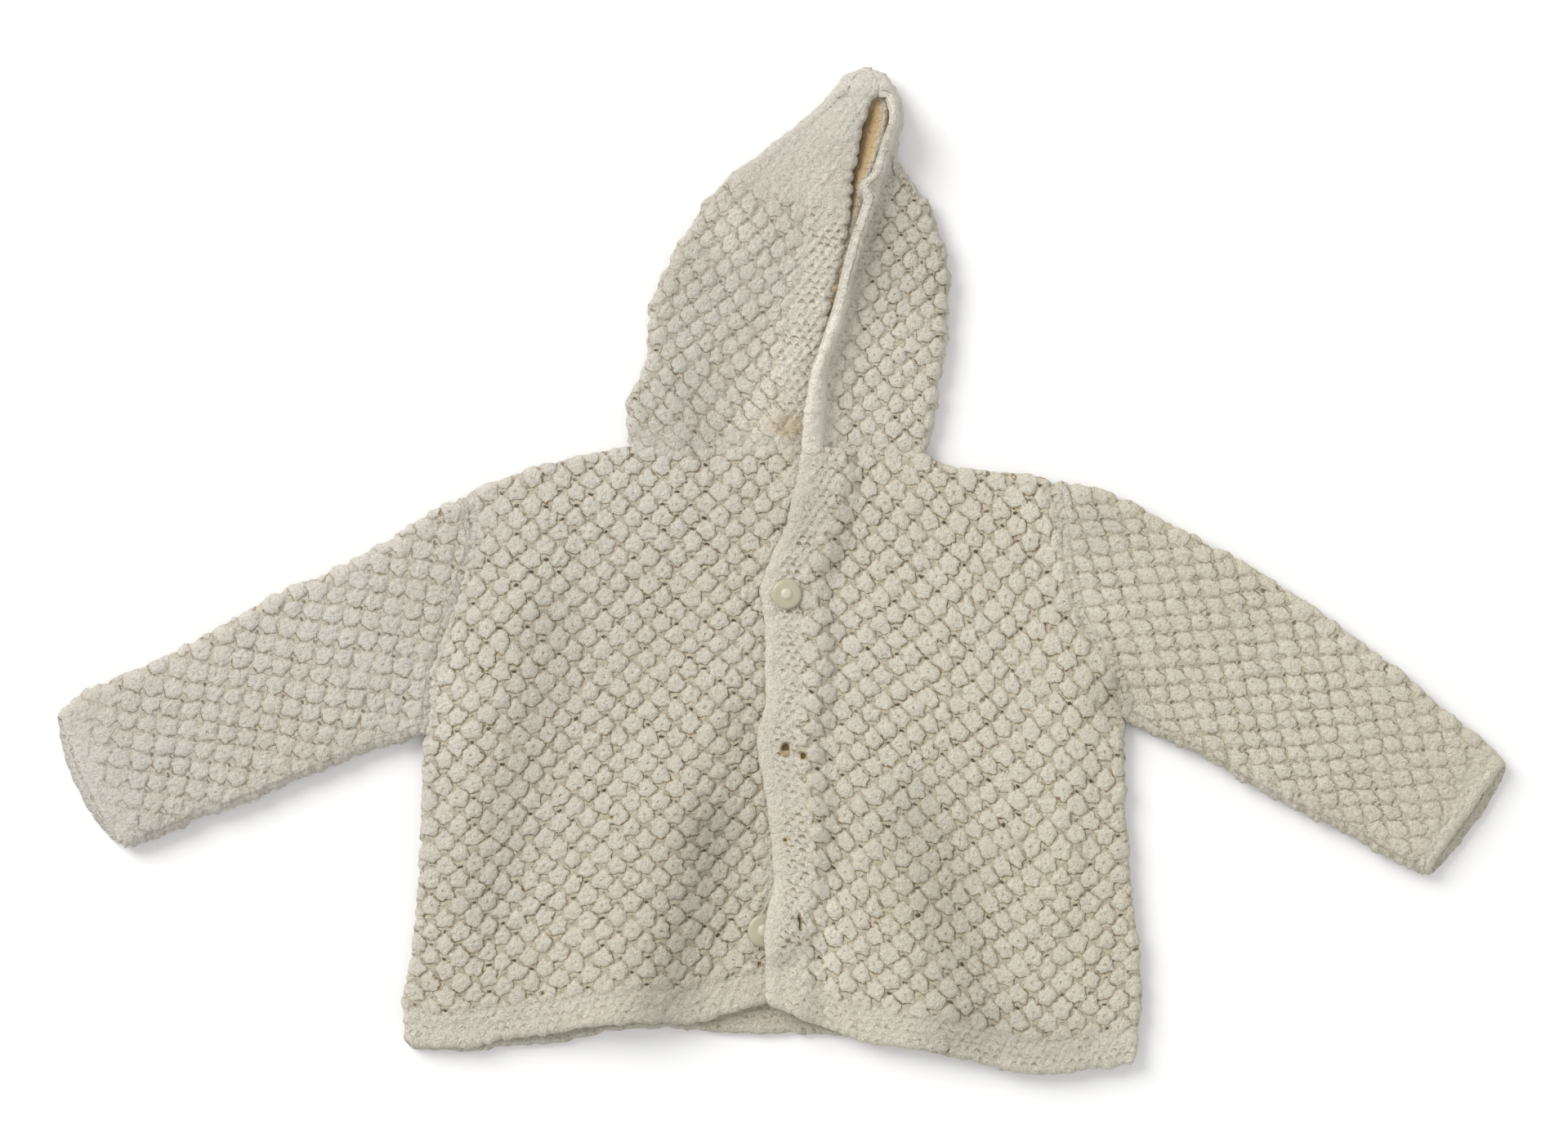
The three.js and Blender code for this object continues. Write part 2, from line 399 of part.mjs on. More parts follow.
function toSolid(geometry) {
  const g = geometry.clone();
  g.deleteAttribute('normal');
  g.deleteAttribute('uv');
  const m = BufferGeometryUtils.mergeVertices(g, 1e-4);
  return new wasm.Manifold(new wasm.Mesh({
    numProp: 3,
    vertProperties: new Float32Array(m.attributes.position.array),
    triVerts: new Uint32Array(m.index.array),
  }));
}
function fromSolid(solid) {
  const m = solid.getMesh(), g = new THREE.BufferGeometry();
  g.setAttribute('position', new THREE.BufferAttribute(new Float32Array(m.vertProperties), 3));
  g.setIndex(Array.from(m.triVerts));
  g.computeVertexNormals();
  return g;
}
function holeTool(x, y, w, h) {
  const s = new THREE.Shape();
  s.absellipse(0, 0, w / 2, h / 2, 0, 2 * Math.PI);
  const g = new THREE.ExtrudeGeometry(s, { depth: 40, bevelEnabled: false, curveSegments: 8 });
  g.translate(x, y, -5);
  return toSolid(g);
}

// ------------------------------------------------------------------ the parts
const wool = () => new THREE.MeshStandardMaterial({ color: 0xd6cdb8, roughness: 0.95, metalness: 0 });
const horn = () => new THREE.MeshStandardMaterial({ color: 0xe0d8ac, roughness: 0.3, metalness: 0 });
const group = new THREE.Group();

// back: flat on the surface from side seam to side seam
const backPlan = bodyPlan(sideRight, sideLeft, through(HEM_BACK, 'x', 'y'));
group.add(mesh('back', panel(backPlan, () => 0, even(14), BODY_ROWS), wool()));

// the wearer's right front lies under the left one by the width of the lap
const rightPlan = bodyPlan(sideRight, (y) => freeEdge(y) + lap(y), through(HEM_FRONT_RIGHT, 'x', 'y'));
group.add(mesh('front_right', panel(rightPlan, underFront, even(12), BODY_ROWS), wool()));

// the left front, with the button's hole, the open eyelet and the lower slit
const leftPlan = bodyPlan(freeEdge, sideLeft, through(HEM_FRONT_LEFT, 'x', 'y'));
const leftColumns = [0, 0.05, 0.10, 0.145, 0.165, 0.19, 0.22, 0.28, 0.38, 0.49, 0.60, 0.71, 0.81, 0.91, 1];
let leftSolid = toSolid(panel(leftPlan, topFront, leftColumns, BODY_ROWS));
for (const h of [
  { x: TOP_BUTTON.x, y: TOP_BUTTON.y, w: 2 * SHANK_HOLE_R, h: 2 * SHANK_HOLE_R },
  EYELET, SLIT]) leftSolid = leftSolid.subtract(holeTool(h.x, h.y, h.w, h.h));
group.add(mesh('front_left', fromSolid(leftSolid), wool()));

group.add(mesh('sleeve_right', sleeve(SLEEVE_RIGHT, sideRight, -1, CUFF_BOW.right), wool()));
group.add(mesh('sleeve_left', sleeve(SLEEVE_LEFT, sideLeft, 1, CUFF_BOW.left), wool()));
group.add(mesh('hood', hood(), wool()));

// highest point of a face under a button
function highest(face, spec) {
  let z = 0;
  for (let a = 0; a < 360; a += 15) for (const q of [0, 0.5, 1]) {
    z = Math.max(z, face(spec.x + (q * spec.d / 2) * Math.cos(rad(a)), spec.y + (q * spec.d / 2) * Math.sin(rad(a))));
  }
  return z;
}
const zTopButton = highest(topFront, TOP_BUTTON) + WALL + GAP;
const shank = zTopButton - topFront(TOP_BUTTON.x, TOP_BUTTON.y) - 0.2;
const topButton = mesh('button_top', button(TOP_BUTTON, shank), horn());
topButton.position.set(TOP_BUTTON.x, TOP_BUTTON.y, zTopButton);
group.add(topButton);
const lowButton = mesh('button_low', button(LOW_BUTTON, 0), horn());
lowButton.position.set(LOW_BUTTON.x, LOW_BUTTON.y, highest(underFront, LOW_BUTTON) + WALL + GAP);
group.add(lowButton);

group.position.set(-CENTRE.x, -CENTRE.y, 0);

export default group;
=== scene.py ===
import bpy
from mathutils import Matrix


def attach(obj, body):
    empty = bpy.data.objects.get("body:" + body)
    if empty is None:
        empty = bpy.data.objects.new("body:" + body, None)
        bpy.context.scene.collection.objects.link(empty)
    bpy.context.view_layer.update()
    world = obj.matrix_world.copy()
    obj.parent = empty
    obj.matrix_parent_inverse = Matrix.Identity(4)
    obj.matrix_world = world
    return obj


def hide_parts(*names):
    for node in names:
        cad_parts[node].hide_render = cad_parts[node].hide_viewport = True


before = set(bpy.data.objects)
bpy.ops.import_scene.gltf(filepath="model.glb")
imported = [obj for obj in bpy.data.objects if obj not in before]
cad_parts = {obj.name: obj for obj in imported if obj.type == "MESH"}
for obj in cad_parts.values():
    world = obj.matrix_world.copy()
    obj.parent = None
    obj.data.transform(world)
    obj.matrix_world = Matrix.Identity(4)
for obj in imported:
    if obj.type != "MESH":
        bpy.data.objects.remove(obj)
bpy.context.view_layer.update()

import math
import bpy
import numpy as np

# Hooded baby cardigan in a thick bobble stitch, laid flat.  All the tables and
# sizes below are millimetres; meshes are written in metres.

RES = 0.74       # spacing of the fine side's vertices
WALL, GAP, LAP_GAP = 4.0, 0.3, 0.5
SEAM_CLEAR = 0.15                        # sewn seams are drawn almost shut
SLAB = 1.6                               # knitted ground under the bobbles
HB = WALL - SLAB                         # height of a bobble
LOFT, SEAM_EASE, BAND_EASE = 1.1, 24.0, 11.0
RIM_WALL, CUFF_SETBACK = 6.2, 4.6
TOP_BUTTON = dict(x=1.0, y=-9.0, d=11.8, h=3.2)
LOW_BUTTON = dict(x=-7.7, y=-140.8, d=13.1, h=3.0)
SHANK_R = 1.1
EYELET = dict(x=0.6, y=-70.1, w=3.9, h=6.6)
SLIT = dict(x=5.8, y=-137.3, w=1.0, h=6.4)


def cols(names, rows):
    keys = names.split()
    return {k: np.array([r[i] for r in rows], float) for i, k in enumerate(keys)}


SIDE_RIGHT = cols("y x", [
    (-186.5, -148.2), (-168.3, -149.1), (-157.1, -146.9), (-144.3, -144.6), (-131.5, -143.4),
    (-112.3, -142.1), (-83.5, -141.1), (-67.5, -140.5), (-57.9, -139.4), (-39.0, -138.2),
    (-22.7, -132.8), (-10.2, -128.0), (2.9, -124.2), (14.1, -122.9), (30.7, -123.8)])
SIDE_LEFT = cols("y x", [
    (-192.3, 137.6), (-173.1, 138.9), (-160.3, 139.5), (-149.1, 138.6), (-137.9, 137.3),
    (-126.7, 135.7), (-112.3, 134.7), (-93.1, 133.1), (-70.7, 132.5), (-59.5, 133.4),
    (-43.2, 132.5), (-29.8, 124.2), (-15.0, 115.5), (1.9, 111.4), (20.2, 108.2), (35.5, 103.4)])
TOP = cols("x y", [
    (-123.8, 30.7), (-118.4, 32.3), (-108.8, 35.5), (-99.2, 40.0), (-89.6, 41.9), (-80.0, 44.2),
    (-70.4, 46.4), (-60.8, 48.0), (-51.2, 48.2), (8.0, 49.3), (16.0, 47.9), (35.2, 47.4),
    (54.4, 45.8), (59.2, 42.8), (64.0, 40.6), (73.6, 39.4), (83.2, 38.4), (92.8, 37.4), (103.4, 35.5)])
HEM_BACK = cols("x y", [
    (-148.2, -185.6), (-137.6, -187.2), (-123.2, -187.5), (-107.8, -185.9), (-90.2, -184.6),
    (-76.2, -182.1), (-68.8, -179.8), (-56.6, -178.9), (-36.2, -179.5), (-21.1, -180.8),
    (-10.9, -181.4), (6.4, -180.8), (25.6, -182.7), (57.6, -187.2), (76.8, -191.0), (96.0, -195.5),
    (115.2, -194.9), (137.6, -191.7)])
HEM_FRONT_RIGHT = cols("x y", [
    (-148.2, -184.8), (-137.6, -186.3), (-123.2, -186.0), (-107.8, -183.0), (-92.5, -181.1),
    (-72.0, -177.6), (-56.6, -176.6), (-36.2, -177.0), (-25.9, -174.1), (-16.0, -171.8),
    (-6.1, -169.3), (12.8, -168.0)])
HEM_FRONT_LEFT = cols("x y", [
    (-6.4, -169.0), (3.2, -173.4), (13.4, -177.6), (26.9, -182.7), (41.6, -185.9), (57.6, -188.2),
    (76.8, -192.3), (91.2, -196.2), (97.6, -197.4), (105.6, -196.5), (121.6, -195.2), (137.9, -192.3)])
EDGE = cols("y x lap", [
    (-169.0, -6.4, 10.5), (-150.7, -6.7, 11.0), (-143.4, -7.0, 11.5), (-134.4, -5.9, 11.5),
    (-121.9, -3.5, 12.0), (-110.1, -4.2, 13.0), (-91.8, -5.8, 15.0), (-78.7, -8.3, 16.0),
    (-64.3, -9.9, 17.0), (-52.8, -7.0, 17.0), (-39.7, -6.8, 17.0), (-26.6, -6.4, 17.0),
    (-16.6, -7.4, 17.0), (-7.0, -8.3, 17.0), (4.5, -4.5, 16.5), (15.7, 0.6, 15.5),
    (31.7, 4.8, 14.0), (49.3, 8.0, 12.0)])
FOLDS = [  # x0 y0 x1 y1 gentle steep height at both ends
    (-22.0, -36.0, -38.0, -96.0, 24, 15, 1.5, 5.2), (-38.0, -96.0, -58.0, -172.0, 30, 15, 5.2, 6.4),
    (-95.0, 8.0, -107.0, -51.0, 20, 14, 2.0, 2.4), (-107.0, -51.0, -130.0, -130.0, 20, 14, 2.4, 2.4),
    (33.0, -72.0, 51.0, -128.0, 22, 15, 1.0, 2.6), (51.0, -128.0, 60.0, -170.0, 22, 15, 2.6, 3.2),
    (100.0, 8.0, 115.0, -48.3, 13, 11, 1.6, 1.6), (115.0, -48.3, 108.0, -128.3, 13, 11, 1.6, 1.6),
    (41.6, -13.1, 73.6, -19.5, 20, 20, 1.0, 1.0), (9.0, 32.0, 4.0, 12.0, 13, 13, 1.3, 1.3)]
SHADE_STRIPS = [   # x0 y0 x1 y1 width strength: painted shade along folds and creases, painted light where the strength is negative
    (-17.6, -62.0, -30.4, -103.0, 11, 0.6), (-30.4, -103.0, -47.4, -172.0, 14, 1.6),
    (-92.0, -20.0, -118.0, -128.0, 12, 0.7), (50.0, -95.0, 74.0, -172.0, 16, 1.3), (62.0, -184.0, 112.0, -187.0, 13, 1.2), (-128.0, -8.0, -136.0, -60.0, 10, -0.6),
    (129.5, -46.0, 129.5, -52.0, 7, 1.8), (16.0, 45.0, 5.0, 14.0, 7, 1.0), (94.0, 27.0, 110.0, -2.0, 7, -0.6),
    (-35.0, 74.0, -34.0, 50.0, 9, 0.5), (-6.0, 78.0, -12.0, 55.0, 12, -0.6), (-38.0, 118.0, 10.0, 185.0, 20, 0.2),
    (19.2, 128.0, -10.0, 60.0, 11, -1.2), (-19.0, 134.0, -21.0, 132.0, 9, -1.2), (14.0, 151.0, 12.0, 146.0, 8, -0.7),
    (13.0, -132.0, 13.0, -158.0, 9, -1.1)]
SLEEVE_RIGHT = cols("ux uy lx ly gap lift", [
    (-123.8, 30.7, -139.8, -64.6, 0.3, 0.0), (-137.6, 24.0, -151.4, -68.2, 1.2, 0.0),
    (-153.6, 13.8, -164.2, -72.0, 1.8, 0.5), (-169.6, 3.8, -176.6, -76.8, 2.2, 0.8),
    (-187.2, -3.2, -189.8, -82.2, 2.2, 0.6), (-204.8, -11.5, -203.2, -88.0, 2.2, 0.2),
    (-222.4, -22.1, -216.6, -93.4, 2.2, 0.5), (-240.0, -31.7, -229.4, -97.9, 2.2, 0.7),
    (-259.2, -40.6, -242.2, -104.0, 2.4, 0.5), (-274.2, -46.7, -252.2, -107.8, 2.8, 0.4),
    (-284.3, -54.4, -259.6, -107.8, 3.2, 0.6)])
SLEEVE_LEFT = cols("ux uy lx ly gap lift", [
    (103.4, 35.5, 133.4, -59.2, 0.3, 0.0), (116.8, 34.2, 145.0, -65.0, 1.2, 0.0),
    (132.8, 28.2, 156.2, -70.1, 1.8, 0.4), (148.8, 19.8, 167.4, -74.9, 2.2, 0.8),
    (166.4, 10.9, 178.6, -81.9, 2.2, 0.9), (184.0, 1.6, 189.8, -88.3, 2.2, 0.5),
    (201.6, -9.9, 201.0, -94.1, 2.2, 0.3), (219.2, -22.4, 212.5, -99.8, 2.2, 0.6),
    (236.8, -35.2, 224.0, -105.3, 2.2, 0.7), (255.0, -50.9, 235.8, -112.6, 2.4, 0.5),
    (270.7, -62.7, 245.4, -117.6, 2.8, 0.4), (284.2, -74.4, 251.4, -119.4, 3.2, 0.6)])
CUFF_BOW = dict(right=5.4, left=2.8)
HOOD_COLS = "y xl el er xr zl gl gr turn up run back flat zf wall".split()
HOOD = cols(" ".join(HOOD_COLS), [
    (48.3, -61.4, 19.8, 7.7, 56.0, 6.3, 0.3, 0.3, 180, 56, 3.6, 54, 2.6, 2, 4),
    (55.7, -62.1, 17.6, 8.1, 58.7, 6.7, 0.7, 0.7, 180, 58, 4.0, 49, 2.2, 2, 4),
    (63.7, -62.1, 15.4, 8.5, 60.2, 7.2, 1.1, 1.1, 180, 60, 4.4, 42, 1.8, 2, 4),
    (71.7, -59.2, 13.4, 9.0, 61.4, 7.6, 1.4, 1.4, 180, 62, 4.8, 32, 1.3, 2, 4),
    (80.3, -55.0, 11.8, 10.4, 62.7, 7.9, 1.6, 1.6, 180, 64, 5.0, 22, 1.0, 2, 4),
    (92.2, -53.6, 14.2, 14.8, 64.3, 8.4, 1.8, 1.8, 180, 68, 5.4, 11, 0.5, 2, 4),
    (103.7, -53.0, 16.6, 18.4, 65.0, 8.9, 1.9, 1.9, 180, 71, 5.8, 3, 0.4, 2, 4),
    (114.2, -49.0, 19.2, 21.0, 65.9, 9.4, 2.0, 2.0, 180, 74, 6.2, 1, 0.4, 2, 4),
    (123.8, -43.8, 21.4, 23.4, 64.0, 10.0, 2.0, 2.0, 180, 75, 6.6, 1, 0.4, 2, 4),
    (131.2, -39.7, 23.2, 25.6, 62.2, 10.5, 2.0, 2.0, 180, 75, 6.8, 1, 0.4, 2, 4),
    (139.8, -34.2, 24.4, 28.6, 59.2, 11.2, 2.0, 2.0, 180, 75, 6.8, 1, 0.4, 2, 4),
    (146.9, -28.8, 24.8, 30.8, 54.4, 11.8, 2.0, 2.0, 180, 75, 6.8, 1, 0.4, 2, 4),
    (152.0, -23.4, 25.0, 32.2, 50.4, 12.2, 2.0, 2.0, 180, 75, 6.6, 1, 0.4, 2, 4),
    (156.5, -18.2, 25.6, 33.8, 47.2, 12.6, 2.0, 2.0, 176, 70, 6.6, 1, 0.4, 2, 4),
    (160.4, -12.8, 26.6, 35.2, 45.4, 12.9, 2.0, 2.0, 150, 44, 7.0, 1, 0.4, 2, 4),
    (165.0, -7.2, 27.4, 36.8, 45.2, 13.2, 2.2, 2.2, 122, 18, 7.6, 1, 0.4, 2, 4),
    (170.0, -1.8, 28.2, 38.0, 46.0, 13.4, 2.4, 2.4, 106, 4, 8.0, 1, 0.4, 2, 4),
    (175.7, 6.2, 29.6, 39.2, 47.6, 13.5, 2.6, 2.6, 101, 1, 7.8, 1, 0.4, 2, 4),
    (180.8, 12.0, 31.6, 39.6, 47.6, 13.5, 3.4, 3.4, 106, 1, 6.8, 1, 0.4, 2, 4),
    (185.3, 15.8, 34.2, 38.8, 46.2, 13.3, 4.6, 4.6, 128, 1, 4.0, 1, 0.4, 2, 4),
    (188.5, 18.6, 35.4, 36.2, 44.2, 12.8, 6.0, 6.4, 170, 1, 0.8, 1, 0.4, 2, 4),
    (191.2, 21.0, 34.2, 34.8, 42.2, 11.6, 5.0, 5.2, 179, 1, 0.4, 1, 0.4, 2.2, 3.6),
    (193.8, 24.2, 33.2, 33.7, 39.6, 9.9, 3.6, 3.8, 179, 1, 0.3, 1, 0.3, 2.6, 3.0),
    (196.2, 28.8, 32.6, 33.0, 36.4, 7.6, 1.6, 1.8, 179, 1, 0.2, 1, 0.2, 3.6, 2.0),
    (197.3, 31.4, 32.5, 32.8, 33.9, 6.0, 0.5, 0.6, 179, 1, 0.1, 1, 0.1, 4.4, 1.0)])


# ------------------------------------------------------------------- helpers
def mix(a, b, t):
    return a + (b - a) * t


def ease(a, b, v):
    t = np.clip((v - a) / (b - a), 0, 1)
    return t * t * (3 - 2 * t)


def through(tab, key, val):
    x, y = tab[key], tab[val]
    n = len(x)
    lo, hi = np.maximum(np.arange(n) - 1, 0), np.minimum(np.arange(n) + 1, n - 1)
    m = (y[hi] - y[lo]) / (x[hi] - x[lo])

    def f(v):
        v = np.clip(np.asarray(v, float), x[0], x[-1])
        i = np.clip(np.searchsorted(x, v, side="right") - 1, 0, n - 2)
        h = x[i + 1] - x[i]
        t = (v - x[i]) / h
        t2, t3 = t * t, t * t * t
        return ((2 * t3 - 3 * t2 + 1) * y[i] + (t3 - 2 * t2 + t) * h * m[i]
                + (-2 * t3 + 3 * t2) * y[i + 1] + (t3 - t2) * h * m[i + 1])
    return f


def rnd(i, j, k):
    v = np.sin(i * 127.1 + j * 311.7 + k * 74.7) * 43758.5453
    return v - np.floor(v)


def noise(x, y, seed=0.0):
    """smooth value noise, -1 to 1, one cell per unit"""
    i, j = np.floor(x), np.floor(y)
    u, v = x - i, y - j
    u, v = u * u * (3 - 2 * u), v * v * (3 - 2 * v)
    a, b = rnd(i, j, seed), rnd(i + 1, j, seed)
    c, d = rnd(i, j + 1, seed), rnd(i + 1, j + 1, seed)
    return 2 * mix(mix(a, b, u), mix(c, d, u), v) - 1


side_right, side_left = through(SIDE_RIGHT, "y", "x"), through(SIDE_LEFT, "y", "x")
top_line = through(TOP, "x", "y")
free_edge, lap = through(EDGE, "y", "x"), through(EDGE, "y", "lap")
hem_back = through(HEM_BACK, "x", "y")
hem_right, hem_left = through(HEM_FRONT_RIGHT, "x", "y"), through(HEM_FRONT_LEFT, "x", "y")


# -------------------------------------------------------- stitch heights, mm
# One bobble in units of its own cell: a broad cushion with a small pointed tip.
BODY = (0.338, 0.338, -0.02, 2.3)        # half width, half height, middle, squareness
TIP = (0.125, 0.195, 0.235)              # half width, half height, middle
LOOP = (0.17, 0.085, 0.075)              # loop between two bobbles of a row
LOBES = (0.080, 0.060, 0.070)            # five lobes, three lobes, size, each +- this
GARTER = (3.7, 5.7)                      # width and height of two garter loops


def wave(v):
    """distance to the nearest whole number"""
    return np.abs(v - np.round(v))


def bobble(u, v):
    """height 0 to 1 of the bobbles in half-drop rows, lattice coordinates u, v"""
    out = np.zeros_like(u)
    for off in (0.0, 0.5):
        i, j = np.round(u + off), np.floor(v + off + 0.45)
        sx = u + off - i
        x, y = np.abs(sx), v + off - j
        key = 2.399 * i + 4.13 * j + 7 * off
        phi = np.arctan2(y - BODY[2], sx)
        lobe = 1 + LOBES[0] * np.sin(5 * phi + key) + LOBES[1] * np.sin(3 * phi + 1.7 * key) + LOBES[2] * np.sin(1.3 * key)
        body = ((x / BODY[0]) ** BODY[3] + np.abs((y - BODY[2]) / BODY[1]) ** BODY[3]) ** (1 / BODY[3]) / lobe
        tip = np.hypot(x / TIP[0], (y - TIP[2]) / TIP[1])
        h = np.clip(1 - body ** 3.4, 0, 1) ** 0.42
        h = h * (1 - 0.12 * ease(0.15, 0.95, np.sin(5 * phi + key + math.pi)) * ease(0.25, 0.9, body))
        h = np.maximum(h, 0.74 * np.clip(1 - tip ** 2.4, 0, 1) ** 0.55 * (1 - 0.55 * ease(0.22, 0.43, y)))
        h = h * (1 + 0.10 * np.sin(2.1 * key))
        lx, ly = 0.5 - x, y - LOOP[2] + 1.6 * (0.5 - x) ** 2
        loop = 0.60 * np.exp(-(lx / LOOP[0]) ** 4 - (ly / LOOP[1]) ** 2)
        out = np.maximum(out, np.maximum(h, loop))
    return out


def purls(u, v):
    """garter loops, 0 to 1: two staggered lines to each ridge"""
    out = np.zeros_like(u)
    for off, hh in ((0.0, 1.0), (0.5, 0.8)):
        x, y = wave(u + off), wave(v + off)
        out = np.maximum(out, hh * np.sqrt(np.clip(1 - (x / 0.54) ** 2 - (y / 0.36) ** 2, 0, 1)))
    return out


class Knit:
    """Height of the knit above its ground, its stitch coordinates and its masks"""
    def __init__(self, shape, **kw):
        for key in ("h",) + MASKS:
            setattr(self, key, kw.get(key, np.zeros(shape)))


MASKS = ("pu", "pv", "gu", "gv", "wb", "wg", "stain", "inside", "tone", "hole")


def knit(p, q, P, Q, seed, band=0.0, rim=0.0, seam=0.0, gp=None, gq=None, H=HB, felt=0.0, flat=0.0):
    """band: weight of garter ridges; rim: smooth rolled edge; seam: crushed; flat: felted"""
    wide = noise(p / 31, q / 34, seed), noise(p / 33, q / 30, seed + 3)
    u, v = (p + 1.1 * wide[0]) / P, (q + 1.0 * wide[1]) / Q
    u, v = u + 0.056 * noise(2 * u, 2 * v, seed + 5), v + 0.060 * noise(2 * u + 9, 2 * v, seed + 6)
    gp = p if gp is None else gp
    gq = q if gq is None else gq
    gu = (gp + 0.45 * noise(gp / 6, gq / 7, seed + 15)) / GARTER[0]
    gv = (gq + 0.45 * noise(gp / 8, gq / 6, seed + 16)) / GARTER[1]
    band, rim, seam = (np.clip(w, 0, 1) + 0 * p for w in (band, rim, seam))
    felt, flat = felt + 0 * p, np.clip(flat, 0, 1) + 0 * p
    hb = H * (1 + 0.16 * noise(u * 2, v * 2, seed + 8)) * (0.47 + 0.53 * bobble(u, v))
    hb = mix(hb, 0.72 * H + 0.22 * hb, flat)
    hg = 0.40 * H + 0.55 * H * purls(gu, gv) * (1 - 0.65 * felt) + 0.5 * felt * noise(gp / 2.3, gq / 2.5, seed + 17)
    # near a seam the bobbles are pulled in and squashed
    su, sv = p / 4.1 + 0.22 * noise(p / 3, q / 3, seed + 31), q / 5.2 + 0.22 * noise(p / 3, q / 3, seed + 32)
    hs = 0.22 * H + 0.70 * H * purls(su, sv) * (1 + 0.3 * noise(p / 3.3, q / 3.3, seed + 33))
    h = mix(hb, hg, band)
    h = mix(h, np.maximum(0.35 * h, hs), 0.9 * seam)
    hr = 0.78 * H + 0.42 * noise(gp / 2.5, gq / 2.9, seed + 13) + 0.26 * noise(gp / 5.2, gq / 4.1, seed + 14)
    h = mix(h, hr, rim)
    h = h + 0.17 * noise(p / 1.4, q / 1.4, seed + 41) + 0.20 * noise(p / 2.7, q / 2.7, seed + 43) * (1 - 0.5 * rim)
    keep = (1 - rim) * (1 - 0.9 * seam)
    return Knit(p.shape, h=np.maximum(h, -0.3), pu=u, pv=v, gu=mix(gu, su, seam > 0.5), gv=mix(gv, sv, seam > 0.5),
                wb=(1 - band) * keep * (1 - 0.75 * flat), wg=np.maximum(band * keep, 0.8 * seam * (1 - rim) * (1 - band)) * (1 - 0.6 * felt) + 0.20 * rim,
                tone=np.clip(0.3 * seam - 0.15 * np.maximum(band, rim), -1, 1))


# ------------------------------------------------------------------- meshes
def grid_normals(g, around=False):
    if around:
        e = np.concatenate([g[:, -1:], g, g[:, :1]], 1)
        du = (e[:, 2:] - e[:, :-2]) / 2
    else:
        du = np.gradient(g, axis=1)
    dv = np.gradient(g, axis=0)
    n = np.cross(du, dv)
    return n / np.maximum(np.linalg.norm(n, axis=2, keepdims=True), 1e-9)


def quads(idx):
    return np.stack([idx[:-1, :-1], idx[:-1, 1:], idx[1:, 1:], idx[1:, :-1]], -1).reshape(-1, 4)


def fan(fine, coarse):
    """triangles between a fine closed loop and a coarse one, k fine edges to each coarse edge"""
    m = len(coarse)
    k = len(fine) // m
    out = []
    for c in range(m):
        a, b = coarse[c], coarse[(c + 1) % m]
        f = [fine[(c * k + i) % len(fine)] for i in range(k + 1)]
        mid = k // 2
        for i in range(mid):
            out.append((f[i], a, f[i + 1]))
        out.append((f[mid], a, b))
        for i in range(mid, k):
            out.append((f[i], b, f[i + 1]))
    return np.array(out)


def loop_of(idx):
    return np.concatenate([idx[0, :-1], idx[:-1, -1], idx[-1, :0:-1], idx[:0:-1, 0]])


def build(name, verts, quad, tri, masks):
    me = bpy.data.meshes.new(name)
    nq, nt = len(quad), len(tri)
    me.vertices.add(len(verts))
    me.vertices.foreach_set("co", (np.asarray(verts) / 1000.0).astype(np.float32).ravel())
    loops = np.concatenate([quad.ravel(), tri.ravel()]).astype(np.int32)
    me.loops.add(len(loops))
    me.loops.foreach_set("vertex_index", loops)
    me.polygons.add(nq + nt)
    starts = np.concatenate([np.arange(nq) * 4, nq * 4 + np.arange(nt) * 3]).astype(np.int32)
    me.polygons.foreach_set("loop_start", starts)
    me.polygons.foreach_set("use_smooth", np.ones(nq + nt, bool))
    me.update(calc_edges=True)
    me.validate()
    for key, val in masks.items():
        a = me.attributes.new(key, "FLOAT", "POINT")
        a.data.foreach_set("value", np.asarray(val, np.float32))
    ob = bpy.data.objects.new(name, me)
    bpy.context.scene.collection.objects.link(ob)
    return ob


def other_side(key, val, inside):
    if key in ("pu", "pv", "gu", "gv"):
        return val
    return {"inside": inside, "wg": 0.55}.get(key, 0.0) + 0 * val


def prick(kn, x, y, cx, cy, rx, ry, depth, low=1.0):
    """hole pressed into the knit, with painted shade in its hole mask; low: how dark its lower half is"""
    r = np.hypot((x - cx) / rx, (y - cy) / ry)
    kn.h = kn.h - depth * (1 - ease(0.80, 1.20, r)) + 0.35 * ease(0.9, 1.25, r) * (1 - ease(1.3, 1.9, r)) * (rx > 1.5)
    kn.hole = np.maximum(kn.hole, (1 - ease(0.75, 1.12, r)) * mix(low, 1.0, ease(-0.15, 0.05, (y - cy) / ry)))


def sheet_mesh(name, fine, coarse, k, kn, flip, coarse_inner_shade=0.0, coarse_tone=0.0):
    """closed shell: fine visible side and coarse other side of one sheet"""
    nf = fine.shape[0] * fine.shape[1]
    fi = np.arange(nf).reshape(fine.shape[:2])
    ci = nf + np.arange(coarse.shape[0] * coarse.shape[1]).reshape(coarse.shape[:2])
    q = np.concatenate([quads(fi), quads(ci)[:, ::-1]])
    t = fan(loop_of(fi), loop_of(ci))
    if flip:
        q, t = q[:, ::-1], t[:, ::-1]
    v = np.concatenate([fine.reshape(-1, 3), coarse.reshape(-1, 3)])
    m = {a: np.concatenate([getattr(kn, a).ravel(), (other_side(a, getattr(kn, a)[::k, ::k], coarse_inner_shade) + (a == "tone") * coarse_tone).ravel()])
         for a in MASKS}
    return build(name, v, q, t, m)


# ------------------------------------------------------ the body's panels
def along(x, y, x0, y0, x1, y1):
    """place on a line, 0 to 1, squared distance from it, and which side"""
    dx, dy = x1 - x0, y1 - y0
    t = np.clip(((x - x0) * dx + (y - y0) * dy) / (dx * dx + dy * dy), 0, 1)
    return t, (x - x0 - t * dx) ** 2 + (y - y0 - t * dy) ** 2, dx * (y - y0) - dy * (x - x0) > 0


